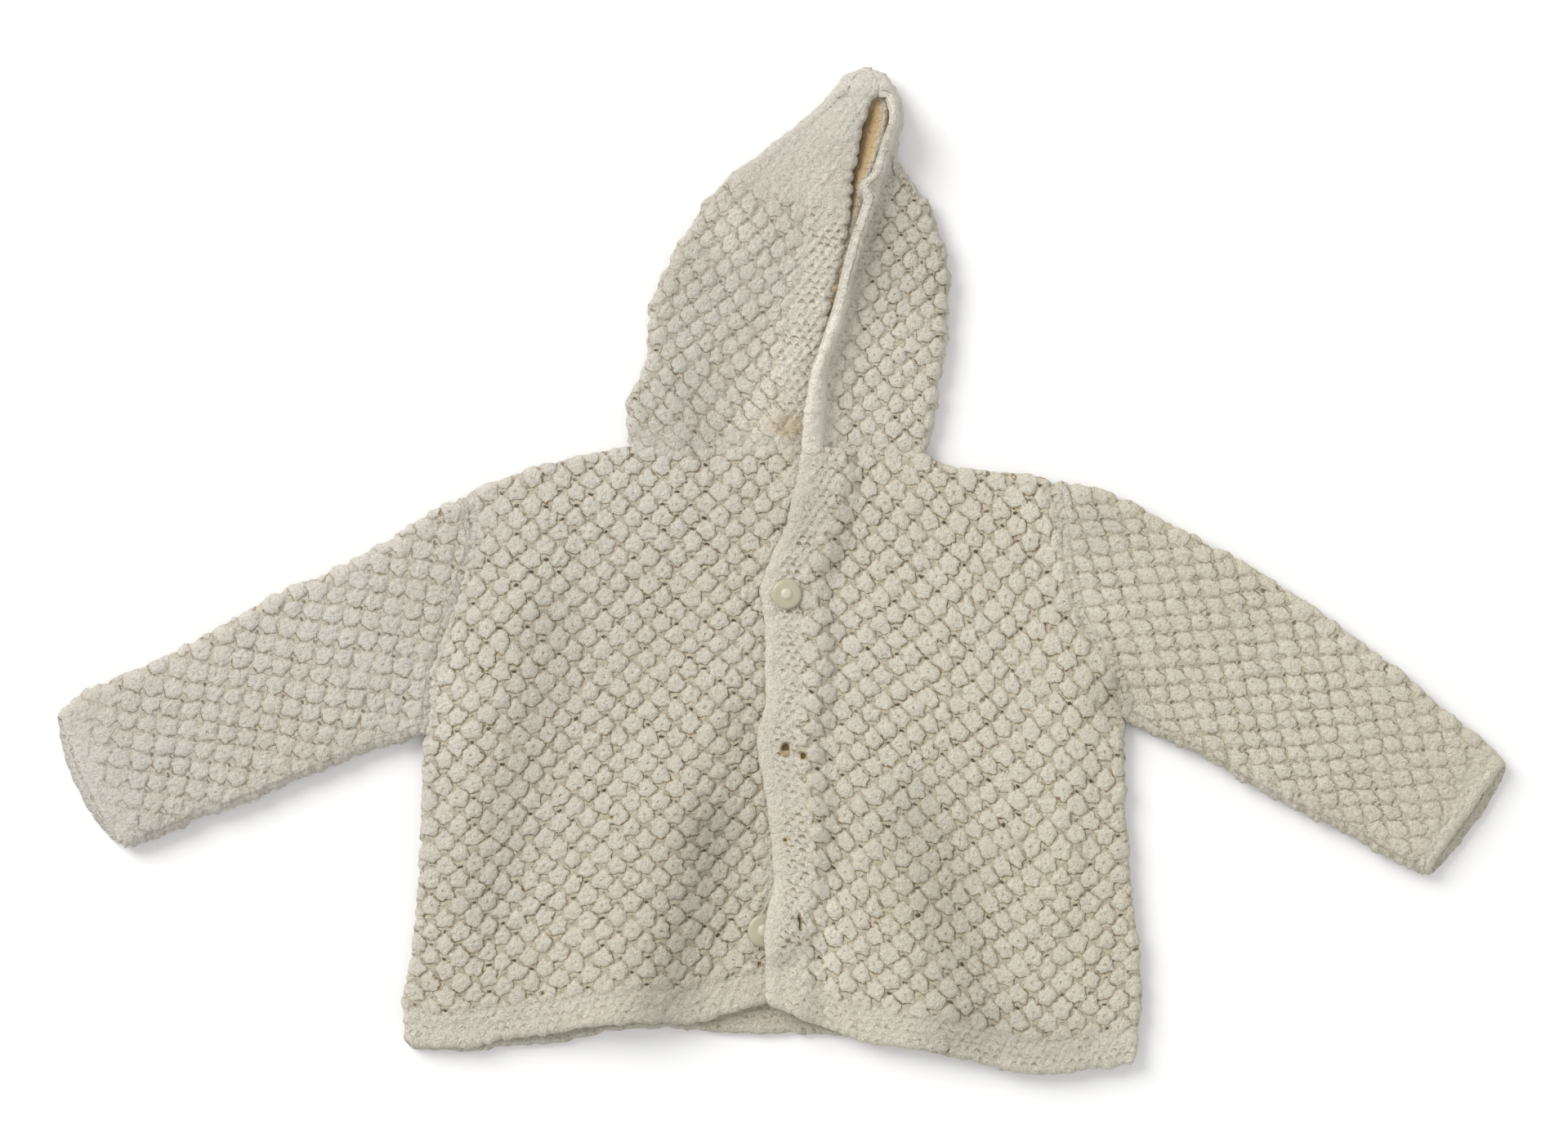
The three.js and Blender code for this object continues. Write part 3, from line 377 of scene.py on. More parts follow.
def ridges(x, y):
    z = np.zeros_like(x)
    for x0, y0, x1, y1, gentle, steep, h0, h1 in FOLDS:
        t, d2, right = along(x, y, x0, y0, x1, y1)
        w = np.where(right, steep, gentle) * (1 + 0.12 * noise(x / 37, y / 29, 61.0))
        one = mix(h0, h1, t) * (1 + 0.14 * noise(x / 24, y / 31, 62.0)) * np.exp(-d2 / (w * w))
        z = (z ** 6 + one ** 6) ** (1 / 6)
    return z


# painted shade along each listed strip, painted light where its strength is negative
def shade_strips(x, y):
    out = np.zeros_like(x)
    for x0, y0, x1, y1, w, k in SHADE_STRIPS:
        out = out + k * np.exp(-along(x, y, x0, y0, x1, y1)[1] / (w * w))
    return out


def loft(x, y):
    side = np.minimum(x - side_right(y), side_left(y) - x)
    return (LOFT + ridges(x, y)) * ease(0, SEAM_EASE, side) * ease(0, 20, top_line(x) - y)


def under_front(x, y):
    return WALL + GAP + loft(x, y)


def top_front(x, y):
    d, w = x - free_edge(y), lap(y)
    lift = (WALL + LAP_GAP) * (1 - ease(w + 0.8, w + 0.8 + BAND_EASE, d))
    r = np.hypot(x - LOW_BUTTON["x"], y - LOW_BUTTON["y"])
    arch = (LOW_BUTTON["h"] + 2 * GAP + 0.3) * (1 - ease(LOW_BUTTON["d"] / 2 + 0.9, LOW_BUTTON["d"] / 2 + 11, r))
    return WALL + GAP + loft(x, y) + lift + arch


def body_plan(left, right, hem):
    def solve(s, line):
        x = mix(left(line(0.0)), right(line(0.0)), s)
        for _ in range(9):
            y = line(x)
            x = mix(left(y), right(y), s)
        return line(x)
    ss = np.linspace(0, 1, 241)
    lo, hi = solve(ss, hem), solve(ss, top_line)

    def f(s, t):
        y = mix(np.interp(s, ss, lo), np.interp(s, ss, hi), t)
        return mix(left(y), right(y), s), y
    return f


def border_cols(span, n, e=1.3, inset=2.0, arc=5):
    """distances from one border across to the other, closer in the rounded edges"""
    th = np.linspace(math.pi / 2, 0, arc + 1)[:-1]
    edge = e * (1 - np.sin(th))
    inner = np.linspace(0, 1, n - 2 * arc)
    return edge, inner, inset, e


def panel_grid(plan, n_i, n_j, inset=1.1, e=1.2, arc=5, smooth=1.0):
    edge, inner, inset, e = border_cols(None, n_i, e, inset, arc)
    edge_j, inner_j, _, _ = border_cols(None, n_j, e, inset, arc)
    tj = np.linspace(0, 1, n_j)
    si = np.linspace(0, 1, n_i)
    a0, b0 = plan(np.zeros(n_j), tj), plan(np.ones(n_j), tj)
    span_s = np.hypot(b0[0] - a0[0], b0[1] - a0[1])
    a1, b1 = plan(si, np.zeros(n_i)), plan(si, np.ones(n_i))
    span_t = np.hypot(b1[0] - a1[0], b1[1] - a1[1])

    def lay(span, edge, inner):
        L = span[:, None]
        lo = (inset + edge)[None] / L
        mid = (inset + e + (L - 2 * inset - 2 * e) * inner[None]) / L
        return np.concatenate([lo, mid, 1 - lo[:, ::-1]], 1)
    S = lay(span_s, edge, inner)                 # n_j x n_i
    Tt = lay(span_t, edge_j, inner_j).T          # n_j x n_i
    x, y = plan(S, Tt)
    ds, dt = S * span_s[:, None] - inset, Tt * span_t[None] - inset
    ds = np.minimum(ds, (1 - S) * span_s[:, None] - inset)
    dt = np.minimum(dt, (1 - Tt) * span_t[None] - inset)
    r = np.minimum(np.hypot(np.clip(1 - ds / e, 0, 1), np.clip(1 - dt / e, 0, 1)), 1)
    # outlines are bumpy: bobbles and loops stand out at the edges
    el, er = S * span_s[:, None], (1 - S) * span_s[:, None]
    eb, et = Tt * span_t[None], (1 - Tt) * span_t[None]

    def bumpy(v, k):
        return 0.55 * noise(v / 4.3, 0 * v, k) + 0.40 * noise(v / 1.9, 0 * v, k + 1)
    x = x - smooth * bumpy(y, 91.0) * (1 - ease(0, 5, el)) + bumpy(y, 93.0) * (1 - ease(0, 5, er))
    y = y - bumpy(x, 95.0) * (1 - ease(0, 5, eb)) + 0.6 * bumpy(x, 97.0) * (1 - ease(0, 5, et))
    return x, y, np.sqrt(1 - r * r), S * span_s[:, None], (1 - S) * span_s[:, None], Tt * span_t[None], (1 - Tt) * span_t[None]


def counts(width, height, k):
    n_i = int(width / RES / k) * k + 1
    n_j = int(height / RES / k) * k + 1
    return n_i, n_j


def front_piece(name, plan, under, pattern, size, smooth=1.0, k=3):
    n_i, n_j = counts(*size, k)
    x, y, rd, dl, dr, db, dt = panel_grid(plan, n_i, n_j, smooth=smooth)
    base = np.stack([x, y, under(x, y) + SLAB / 2 + SLAB / 2 * rd], -1)
    kn = pattern(x, y, dl, dr, db, dt)
    fine = base + grid_normals(base) * kn.h[..., None]
    cx, cy = x[::k, ::k], y[::k, ::k]
    coarse = np.stack([cx, cy, under(cx, cy) + 0.05], -1)
    return sheet_mesh(name, fine, coarse, k, kn, False)


def back_piece(name, plan, pattern, size, k=3):
    n_i, n_j = counts(*size, k)
    x, y, rd, dl, dr, db, dt = panel_grid(plan, n_i, n_j)
    base = np.stack([x, y, WALL - SLAB / 2 - SLAB / 2 * rd], -1)
    kn = pattern(x, y, dl, dr, db, dt)
    fine = base - grid_normals(base) * kn.h[..., None]
    fine[..., 2] = np.maximum(fine[..., 2], 0.0)
    cx, cy = x[::k, ::k], y[::k, ::k]
    cz = WALL - 0.05 + 0.25 * noise(cx / 3.0, cy / 3.0, 3.0) * ease(0, 10, db[::k, ::k]) - 0.25
    # painted shade: the back's upper, inner side a little brown and darker, for the shade it lies in under the fronts
    return sheet_mesh(name, fine, np.stack([cx, cy, cz], -1), k, kn, True, coarse_inner_shade=0.10, coarse_tone=0.8)


def bump_at(x, y, cx, cy, rx, ry):
    return np.exp(-(((x - cx) / rx) ** 2 + ((y - cy) / ry) ** 2))


def rows_of(x, y, hem, level):
    """stitch rows: parallel to the hem below, level at the neck"""
    w = ease(-175, 25, y)
    return (y - hem(x)) + (hem(x) - level) * w


def pattern_right(x, y, dl, dr, db, dt):
    q = rows_of(x, y, hem_right, -181.0) - 15.5 - 0.05 * (x + 60) * np.exp(-((y + 70) / 60) ** 2)
    p = x + 3.0
    band = 1 - ease(15.0, 17.0, dr)
    hemw = 1 - ease(11.5, 15.5, db + 1.5 * noise(x / 6, y / 6, 71))
    arm = ease(-75, -50, y)
    seam = np.maximum((1 - ease(1.0, 4.0, dl)) * mix(0.35, 1.0, arm), 0.35 * (1 - ease(0.5, 3.0, dt)))
    kn = knit(p, q, 11.3, 10.35, 100.0, band=np.maximum(band, hemw), seam=seam * (1 - hemw),
              rim=np.maximum((1 - ease(0.6, 2.6, db)) * 0.6, (1 - ease(2.5, 5.0, dr)) * 0.8), gp=x, gq=q, felt=0.75 * hemw,
              flat=0.35 * ease(-30, 30, y) * ease(30, 5, dl))
    kn.stain = 0.9 * bump_at(x, y, -24, -178, 9, 4) + 0.5 * bump_at(x, y, 0, 45, 10, 6)
    for cx, cy in ((-67.2, -96.3), (-94.4, -165.1), (-9.6, -153.9)):
        prick(kn, x, y, cx, cy, 0.9, 0.8, 1.0)
    # painted shade and light along the listed strips
    kn.tone = kn.tone + shade_strips(x, y)
    return kn


def pattern_left(x, y, dl, dr, db, dt):
    q = rows_of(x, y, hem_left, -186.0) - 15.0 + 0.04 * (x - 60) * np.exp(-((y + 60) / 70) ** 2) + 0.065 * (x - 60) * ease(-185, -110, y)
    c = 0.15 / 320.0 * np.clip(y + 120, 0, None) ** 2
    p = x + c * 0.8 - 8.0
    band = 1 - ease(13.6, 16.2, dl + 0.8 * np.sin(q * 2 * math.pi / 10.6) + 0.8 * noise(x / 5, y / 5, 72))
    hemw = 1 - ease(11.5, 15.5, db + 1.5 * noise(x / 6, y / 6, 73))
    arm = ease(-75, -50, y)
    seam = np.maximum((1 - ease(1.0, 4.0, dr)) * mix(0.35, 1.0, arm), 0.35 * (1 - ease(0.5, 3.0, dt)))
    rim = np.maximum(1 - ease(3.6, 6.2, dl), (1 - ease(0.6, 2.6, db)) * 0.6)
    kn = knit(p, q, 11.2, 10.6, 200.0, band=np.maximum(band, hemw), seam=seam * (1 - hemw), rim=rim,
              gp=x, gq=q, felt=0.15 * band + 0.6 * hemw)
    kn.stain = 0.8 * bump_at(x, y, 81, 4.5, 1.6, 1.2)
    prick(kn, x, y, EYELET["x"], EYELET["y"], EYELET["w"] / 2, EYELET["h"] / 2, 1.1, 0.50)
    prick(kn, x, y, 7.4, -72.3, 1.25, 1.4, 0.9)
    prick(kn, x, y, SLIT["x"], SLIT["y"], 0.55, SLIT["h"] / 2, 1.6)
    prick(kn, x, y, 0.6, -105.0, 0.9, 0.8, 1.0)
    under = bump_at(x, y, 129.5, -49, 7, 8)
    # painted shade and light along the listed strips; the whole panel a little darker
    kn.tone = kn.tone + shade_strips(x, y) - 0.30
    kn.h = kn.h - 1.6 * under
    return kn


def pattern_back(x, y, dl, dr, db, dt):
    q = rows_of(x, y, hem_back, -184.0) - 15.0
    hemw = 1 - ease(11.5, 15.5, db)
    seam = np.maximum(np.maximum(1 - ease(1.0, 4.5, dl), 1 - ease(1.0, 4.5, dr)), 1 - ease(0.5, 4.0, dt))
    return knit(x, q, 11.7, 10.5, 300.0, band=hemw, seam=seam * (1 - hemw), rim=(1 - ease(1.2, 3.4, db)) * 0.8,
                gp=x, gq=q, felt=0.3 * hemw)


# ------------------------------------------------------------------ sleeves
def sleeve_piece(name, table, side, outward, bow, P, Q, tilt, seed, inside, dark, k=3):
    n = len(table["ux"])
    tab = dict(table, t=np.linspace(0, 1, n))
    f = {c: through(tab, "t", c) for c in ("ux", "uy", "lx", "ly", "gap", "lift")}

    def axis(t):
        a, b = np.clip(t - 0.02, 0, 1), np.clip(t + 0.02, 0, 1)
        dx = f["ux"](b) + f["lx"](b) - f["ux"](a) - f["lx"](a)
        dy = f["uy"](b) + f["ly"](b) - f["uy"](a) - f["ly"](a)
        ln = np.hypot(dx, dy)
        return dx / ln, dy / ln

    def plan(a, t, back):
        x, y = mix(f["lx"](t), f["ux"](t), a), mix(f["ly"](t), f["uy"](t), a)
        y0, x0 = mix(f["ly"](0), f["uy"](0), a), mix(f["lx"](0), f["ux"](0), a)
        x = x + (side(y0) + outward * SEAM_CLEAR - x0) * (1 - ease(0, 0.45, t))
        dx, dy = axis(t)
        b = np.sin(math.pi * np.clip(a, 0, 1))
        along = bow * b * ease(0.6, 1, t) - back * np.sqrt(np.maximum(b, 0)) * ease(0.75, 1, t)
        return x + along * dx, y + along * dy

    length = 163.0 if outward < 0 else 176.0
    wide = 78.0
    # rounded ends along the tube
    e, arc, ins = 1.2, 5, 0.6
    nj = int(length / RES / k) * k + 1
    th = np.linspace(math.pi / 2, 0, arc + 1)[:-1]
    lo = e * (1 - np.sin(th))
    dist = np.concatenate([ins + lo, np.linspace(ins + e, length - ins - e, nj - 2 * arc), length - ins - lo[::-1]])
    T = dist / length
    endd = np.minimum(dist, length - dist) - ins
    half = np.sqrt(1 - np.clip(1 - endd / e, 0, 1) ** 2)
    nflat = int(wide / RES / k) * k
    nbend = 4 * k
    m = 2 * nflat + 2 * nbend

    def rings(tt, r_off, step):
        w = np.hypot(f["ux"](tt) - f["lx"](tt), f["uy"](tt) - f["ly"](tt))[:, None]
        g = (f["gap"](tt) * (1 - 0.80 * ease(0.84, 1.0, tt)))[:, None]
        hh = 2 * WALL + g
        end = hh / 2 / w
        r = g / 2 + r_off[:, None]
        lift = f["lift"](tt)[:, None]
        i1 = np.arange(0, nflat, step)[None] / nflat
        ib = np.arange(0, nbend, step)[None] / nbend
        A, DZ, U = [], [], []
        A.append(mix(end, 1 - end, i1)); DZ.append(-r + 0 * i1); U.append(0 * A[-1])
        ph = np.radians(-90 + 180 * ib)
        A.append(1 - end + np.cos(ph) * r / w); DZ.append(np.sin(ph) * r); U.append(ease(-90, 90, -90 + 180 * ib) + 0 * A[-1])
        A.append(mix(1 - end, end, i1)); DZ.append(r + 0 * i1); U.append(1 + 0 * A[-1])
        ph = np.radians(90 + 180 * ib)
        A.append(end + np.cos(ph) * r / w); DZ.append(np.sin(ph) * r); U.append(1 - ease(-90, 90, -90 + 180 * ib) + 0 * A[-1])
        A, DZ, U = np.concatenate(A, 1), np.concatenate(DZ, 1), np.concatenate(U, 1)
        back = np.where(U > 0.5, CUFF_SETBACK * (2 * U - 1), 0)
        X, Y = plan(A, tt[:, None] + 0 * A, back)
        up = lift * np.sin(math.pi * np.clip((A - end) / (1 - 2 * end), 0, 1)) * np.clip(DZ / np.maximum(r, 1e-6), 0, 1)
        return np.stack([X, Y, hh / 2 + DZ + up], -1), A, w, U
    base, A, w, U = rings(T, SLAB / 2 + SLAB / 2 * half, 1)
    inner, _, _, _ = rings(T[::k], SLAB / 2 - (SLAB / 2 - 0.02) * half[::k], k)
    # stitch rows run in the plane of each layer, turned by the measured angles
    seg = np.linalg.norm(np.diff(np.concatenate([base, base[:, :1]], 1), axis=1), axis=2)
    arcl = np.concatenate([np.zeros((len(T), 1)), np.cumsum(seg, 1)[:, :-1]], 1)
    s = arcl - arcl[:, nflat + nbend // 2][:, None]
    bx, by = base[..., 0], base[..., 1]
    cu, su = math.cos(math.radians(tilt[0])), math.sin(math.radians(tilt[0]))
    cv, sv = math.cos(math.radians(tilt[1])), math.sin(math.radians(tilt[1]))
    det = cu * sv - su * cv
    p, q = (bx * sv - by * cv) / det, (by * cu - bx * su) / det
    i = np.arange(m)[None]
    over = (i > nflat + 1) & (i < m - 2)
    # wrap the upper layer's stitches a little way round both folds
    upper, lower = nflat + nbend, m - nbend
    p, q = np.where(over, p, p + 0.5 * P), np.where(over, q, q)
    fold = np.minimum(np.abs(i - (nflat + 1)), np.abs(i - (m - 2)))
    foldw = np.clip(1 - fold / 2.5, 0, 1) + 0 * p
    rough = np.exp(-((i - (nflat + nbend // 2)) / 7.0) ** 2) + 1.3 * np.exp(-((i - (m - nbend // 2)) / 8.0) ** 2)
    along = (length - dist)[:, None] + 0 * s
    d_cuff, d_arm = along, dist[:, None] + 0 * s
    seam_lo = np.minimum(np.minimum(i, m - i), np.abs(i - (m - nbend // 2))) * RES + 0 * s
    cuffw = 1 - ease(7.5, 13.5, d_cuff + 2.0 * noise(bx / 8, by / 8, seed + 71))
    low_edge = 1 - ease(2.0, 15.0, np.abs(s - s[:, -1:]))
    seam = np.clip(np.maximum(1 - ease(1.0, 6.0, d_arm + 1.5 * noise(bx / 5, by / 5, seed + 72)), 0.75 * low_edge) + foldw, 0, 1)
    kn = knit(p, q, P, Q, seed, seam=seam * (1 - cuffw), rim=np.maximum(cuffw * 0.88, 0.85 * (1 - ease(1.5, 5.0, d_cuff))),
              gp=s, gq=along, flat=0.40 * ease(45, 10, d_cuff) + 0.12)
    kn.h = kn.h + rough * (0.60 * noise(along / 3.4, s / 6.0, seed + 73) + 0.35 * noise(along / 1.7, s / 4.0, seed + 74))
    wrap_w = ease(0.0, 2.0, np.minimum(i, m - 1 - i)) + 0 * p
    kn.wb, kn.wg = 0.80 * kn.wb * wrap_w * (1 - foldw), kn.wg * wrap_w
    # painted shade on the sleeve flagged dark: in a patch near the armhole, along the lower edge and in the underarm
    # crease, that sleeve a little lighter elsewhere; both sleeves a little darker overall, the other one more so
    # towards the cuff
    kn.tone = kn.tone + 0.10 + 0.35 * ease(70, 20, d_cuff) * (1 - dark) + 0.9 * dark * bump_at(bx, by, 121.0, 19.0, 14, 14) - 0.35 * dark + dark * (1 - ease(1.0, 11.0, np.abs(s - s[:, -1:]))) + 1.8 * dark * bump_at(bx, by, 133.0, -50.0, 8, 8)
    nrm = grid_normals(base, around=True) * outward
    fine = base + nrm * kn.h[..., None]
    fine[..., 2] = np.maximum(fine[..., 2], 0.0)
    nf = fine.shape[0] * m
    fi = np.arange(nf).reshape(-1, m)
    mc = inner.shape[1]
    ci = nf + np.arange(inner.shape[0] * mc).reshape(-1, mc)
    wrap = lambda a: np.concatenate([a, a[:, :1]], 1)
    q4 = np.concatenate([quads(wrap(fi)), quads(wrap(ci))[:, ::-1]])
    t3 = np.concatenate([fan(fi[0], ci[0]), fan(fi[-1], ci[-1])[:, ::-1]])
    if outward < 0:
        q4, t3 = q4[:, ::-1], t3[:, ::-1]
    v = np.concatenate([fine.reshape(-1, 3), inner.reshape(-1, 3)])
    nc = len(v) - nf
    masks = {a_: np.concatenate([getattr(kn, a_).ravel(), other_side(a_, getattr(kn, a_)[::k, ::k], inside).ravel()]) for a_ in MASKS}
    return build(name, v, q4, t3, masks)


# --------------------------------------------------------------------- hood
def hood_section(r, nn):
    """middle line of the hood's wall, as in the solid, with nn points per stretch"""
    X, Z, Wd = [], [], []
    rl, rr = (r["wall"] + r["gl"]) / 2, (r["wall"] + r["gr"]) / 2
    kx = r["wall"] / 4
    xa, ztop = r["xl"] + r["wall"] / 2 + rl, r["zf"] + 2 * rl
    # left half, closer together at the face edge
    i = np.linspace(0, 1, nn["left"], endpoint=False)
    qv = 1 - (0.75 * i + 0.25 * i ** 2)
    X.append(mix(xa, r["el"] - 0.3, qv))
    Z.append(mix(ztop, r["zl"], ease(0, 1, qv)) + 0.09 * (r["zl"] - 2) * np.sin(math.pi * qv) * kx)
    Wd.append(r["wall"] + 0.5 * ease(0.75, 1, qv) * kx)
    q = np.radians(90 + 180 * np.linspace(0, 1, nn["bend"] + 1))
    X.append(xa + rl * np.cos(q)); Z.append(r["zf"] + rl + rl * np.sin(q)); Wd.append(r["wall"] + 0 * q)
    xb = r["xr"] - r["wall"] / 2 - rr
    i = np.linspace(0, 1, nn["under"] + 1)[1:]
    X.append(mix(xa, xb, i)); Z.append(r["zf"] + 0 * i); Wd.append(r["wall"] + 0 * i)
    q = np.radians(r["turn"] * np.linspace(0, 1, nn["bend"] + 1)[1:])
    X.append(xb + rr * np.sin(q)); Z.append(r["zf"] + rr * (1 - np.cos(q))); Wd.append(r["wall"] + 0 * q)
    x, z = X[-1][-1], Z[-1][-1]
    E = mix(r["wall"], r["rim"], float(ease(2.2, 4, r["wall"])))
    steps, a = [], r["turn"]

    def arc(R, deg, n, w0, w1):
        nonlocal a
        for j in range(n):
            am = math.radians(a + deg / (2 * n))
            ln = 2 * R * math.sin(math.radians(abs(deg)) / (2 * n))
            steps.append((ln * math.cos(am), ln * math.sin(am), mix(w0, w1, (j + 1) / n)))
            a += deg / n

    def go(ln, n, w0, w1):
        for j in range(n):
            steps.append((ln / n * math.cos(math.radians(a)), ln / n * math.sin(math.radians(a)), mix(w0, w1, (j + 1) / n)))
    W0 = r["wall"]
    arc(4.0 * kx, -r["up"], nn["arc"], W0, W0)
    go(r["run"], nn["run"], W0, mix(W0, E, 0.8))
    arc(4.4 * kx, r["back"], nn["arc"] // 2, mix(W0, E, 0.8), E)
    go(r["flat"], nn["flat"], E, E)
    dx = sum(s_[0] for s_ in steps)
    end_x = r["er"] + E / 2 * math.sin(math.radians(min(180, max(90, a))))
    turn = math.radians(r["turn"])
    level = max(0.2, (x + dx - end_x) / max(0.35, -math.cos(turn)))
    i = np.linspace(0, 1, nn["level"] + 1)[1:]
    X.append(x + level * i * math.cos(turn)); Z.append(z + level * i * math.sin(turn)); Wd.append(W0 + 0 * i)
    x, z = X[-1][-1], Z[-1][-1]
    st = np.array(steps)
    X.append(x + np.cumsum(st[:, 0])); Z.append(z + np.cumsum(st[:, 1])); Wd.append(st[:, 2])
    return np.concatenate(X), np.concatenate(Z), np.concatenate(Wd)


def hood_piece(name, k=3):
    f = {c: through(HOOD, "y", c) for c in HOOD_COLS if c != "y"}
    span = HOOD["y"][-1] - HOOD["y"][0]
    n_j = int(span / RES / k) * k + 1
    # rows, closer together at the tip
    t = np.linspace(0, 1, n_j)
    ys = HOOD["y"][0] - 3.1 + (span + 3.1) * (1 - (1 - t) ** 1.12)
    sc = 1.0 / RES
    nn = dict(left=int(58 * sc), bend=int(8 * sc), under=int(72 * sc), level=int(26 * sc), arc=int(6 * sc) // 2 * 2, run=int(8 * sc), flat=int(5 * sc))
    rows = []
    for y in ys:
        r = {c: float(g(y)) for c, g in f.items()}
        r["rim"] = RIM_WALL - 1.6 * (1 - float(ease(50, 68, y))) - 1.9 * float(ease(152, 168, y))
        rows.append(hood_section(r, nn))
    X, Z, Wd = (np.array([r_[i] for r_ in rows]) for i in range(3))
    # the rim comes down onto the front's band at the neck
    Z = Z - 1.5 * (1 - ease(50, 66, ys))[:, None] * ease(7.0, 12.0, Z)
    m = X.shape[1]
    m = (m - 1) // k * k + 1
    cut = X.shape[1] - m                        # drop a few points of the under layer
    keep = np.ones(X.shape[1], bool)
    mid0 = nn["left"] + nn["bend"] + nn["under"] // 2
    keep[mid0:mid0 + cut] = False
    X, Z, Wd = X[:, keep], Z[:, keep], Wd[:, keep]
    seg = np.hypot(np.diff(X, axis=1), np.diff(Z, axis=1))
    U = np.concatenate([np.zeros((n_j, 1)), np.cumsum(seg, 1)], 1)
    L = U[:, -1:]
    dX, dZ = np.gradient(X, axis=1), np.gradient(Z, axis=1)
    ln = np.maximum(np.hypot(dX, dZ), 1e-6)
    nx, nz = dZ / ln, -dX / ln                  # outward in the section's plane
    Yc = ys[:, None] + 0 * X
    follow = (top_line(np.clip(X, -60.8, 54.4)) + SEAM_CLEAR - HOOD["y"][0]) * (1 - ease(0, 30, Yc - HOOD["y"][0]))
    Yc = Yc + follow
    # the face edge is scalloped by its garter rows
    scallop = 0.8 + 0.55 * np.sin(2 * math.pi * Yc / 5.7 + 2.2 * noise(Yc / 13, 0 * Yc, 77.0)) + 0.3 * noise(Yc / 3.0, 0 * Yc, 78.0)
    X = X + scallop * np.exp(-(U / 3.2) ** 2) * ease(44, 60, Yc) * (1 - ease(178, 186, Yc))
    shut = ease(184.5, 189, Yc)
    X = X + 1.7 * shut * np.exp(-(U / 3.0) ** 2) - 1.7 * shut * np.exp(-((L - U) / 3.0) ** 2)
    knob = np.exp(-(np.abs(Yc - 150.4) / 3.3) ** 2.6) * ease(6.5, 1.5, L - U)
    X, Z = X - 3.3 * knob, Z + 0.8 * knob
    e = 1.5
    kW = Wd / 4
    ends = np.minimum(U, L - U)
    v_end = np.minimum(Yc - Yc[:1], (Yc[-1:] - Yc) * 1.0)
    rd = np.minimum(np.hypot(np.clip(1 - ends / e, 0, 1), np.clip(1 - (ys - ys[0])[:, None] / e, 0, 1)), 1)
    rd = np.sqrt(1 - rd * rd)
    isr = ease(0.0, 1.0, (U - (L - 7.6)) / 2.4) * ease(3.0, 4.0, Wd)         # right-hand rim
    Hl = mix(HB, 1.5, isr) * np.minimum(kW, 1.0)
    lo_, hi_ = -Wd / 2, Wd / 2 - Hl
    c_, h_ = (lo_ + hi_) / 2, (hi_ - lo_) / 2
    o = c_ + h_ * rd
    base = np.stack([X + nx * o, Yc, Z + nz * o], -1)
    ki = c_ - (h_ - 0.02) * rd
    inner = np.stack([X + nx * ki, Yc, Z + nz * ki], -1)[::k, ::k]
    # stitch coordinates
    i_right = nn["left"] + nn["bend"] + nn["under"] + nn["bend"] // 2 - cut
    col = np.arange(X.shape[1])[None] + 0 * U
    right = col > i_right
    ex = through(HOOD, "y", "el")(ys)[:, None]
    pL, qL = U, Yc + 0.13 * (ex - X) * np.where(col < nn["left"] + nn["bend"] // 2, -1, 1) * 0.0 + 0.13 * X
    pR, qR = -X + 0.10 * Yc + 200.0, Yc + 0.10 * X + 40.0
    p, q = np.where(right, pR, pL), np.where(right, qR, qL)
    P_, Q_ = np.where(right, 9.3, 9.6), np.where(right, 9.5, 10.1)
    # zones
    left = col < nn["left"] + nn["bend"] // 2
    face = (1 - ease(12.0, 15.5, U + 1.0 * np.sin(q * 2 * math.pi / 9.6) + noise(U / 5, Yc / 5, 74)))
    over = Yc - (146.2 - 0.28 * (X + 6.4))
    plain = ease(-3.0, 4.0, over + 2 * noise(X / 7, Yc / 7, 75)) * left + ease(150, 160, Yc) * (1 - left)
    rim_l = (1 - ease(0.5, 1.8, U)) * 0.25
    lobe = ease(160, 168, Yc) * right
    rim = np.clip(np.maximum(isr * (1 - 0.35 * lobe), np.maximum(rim_l, lobe * 0.45)) + ease(186, 193, Yc) * 0.4, 0, 1)
    neck = 0.38 * (1 - ease(5.0, 14.0, Yc - Yc[:1] + 5 * noise(X / 12, Yc / 9, 76)))
    fold_r = np.clip(1.2 - np.abs(U - U[:, i_right:i_right + 1]) / 2.2, 0, 1)
    fold_l = np.clip(1.2 - np.abs(U - U[:, nn["left"] + nn["bend"] // 2][:, None]) / 2.2, 0, 1) * 0
    tg = math.radians(-6)
    gp, gq = X * math.cos(tg) + Yc * math.sin(tg), -X * math.sin(tg) + Yc * math.cos(tg)
    gp = np.where(left | right, gp, U)
    face_r = ease(-15.5, -12.0, U - L + 1.5 * noise(X / 6, Yc / 6, 79)) * right
    args = dict(band=np.maximum(np.maximum(face * left, 0.8 * face_r), 0.85 * plain), rim=rim, seam=np.maximum(neck, fold_r), gp=gp, gq=gq, felt=np.maximum(0.6 * plain, 0.4 * face_r))
    kL = knit(p, q, 9.6, 10.1, 400.0, flat=0.05 * left, **args)
    kR = knit(p, q, 9.3, 9.5, 430.0, **args)
    kn = Knit(X.shape)
    for a_ in ("h",) + MASKS:
        setattr(kn, a_, np.where(right, getattr(kR, a_), getattr(kL, a_)))
    kn.h = kn.h * (Hl / HB) - 0.35 * np.exp(-(over / 1.3) ** 2) * left * ease(0, 20, X + 30)
    kn.wb = kn.wb * (1 - np.clip(fold_r * 1.5, 0, 1)) * np.where(left, mix(0.85, 0.60, ease(70, 130, Yc)), 0.95)
    kn.wg = 0.95 * kn.wg * (1 - np.clip(fold_r * 1.5, 0, 1)) * (1 - 0.65 * plain)
    er = through(HOOD, "y", "er")(Yc)
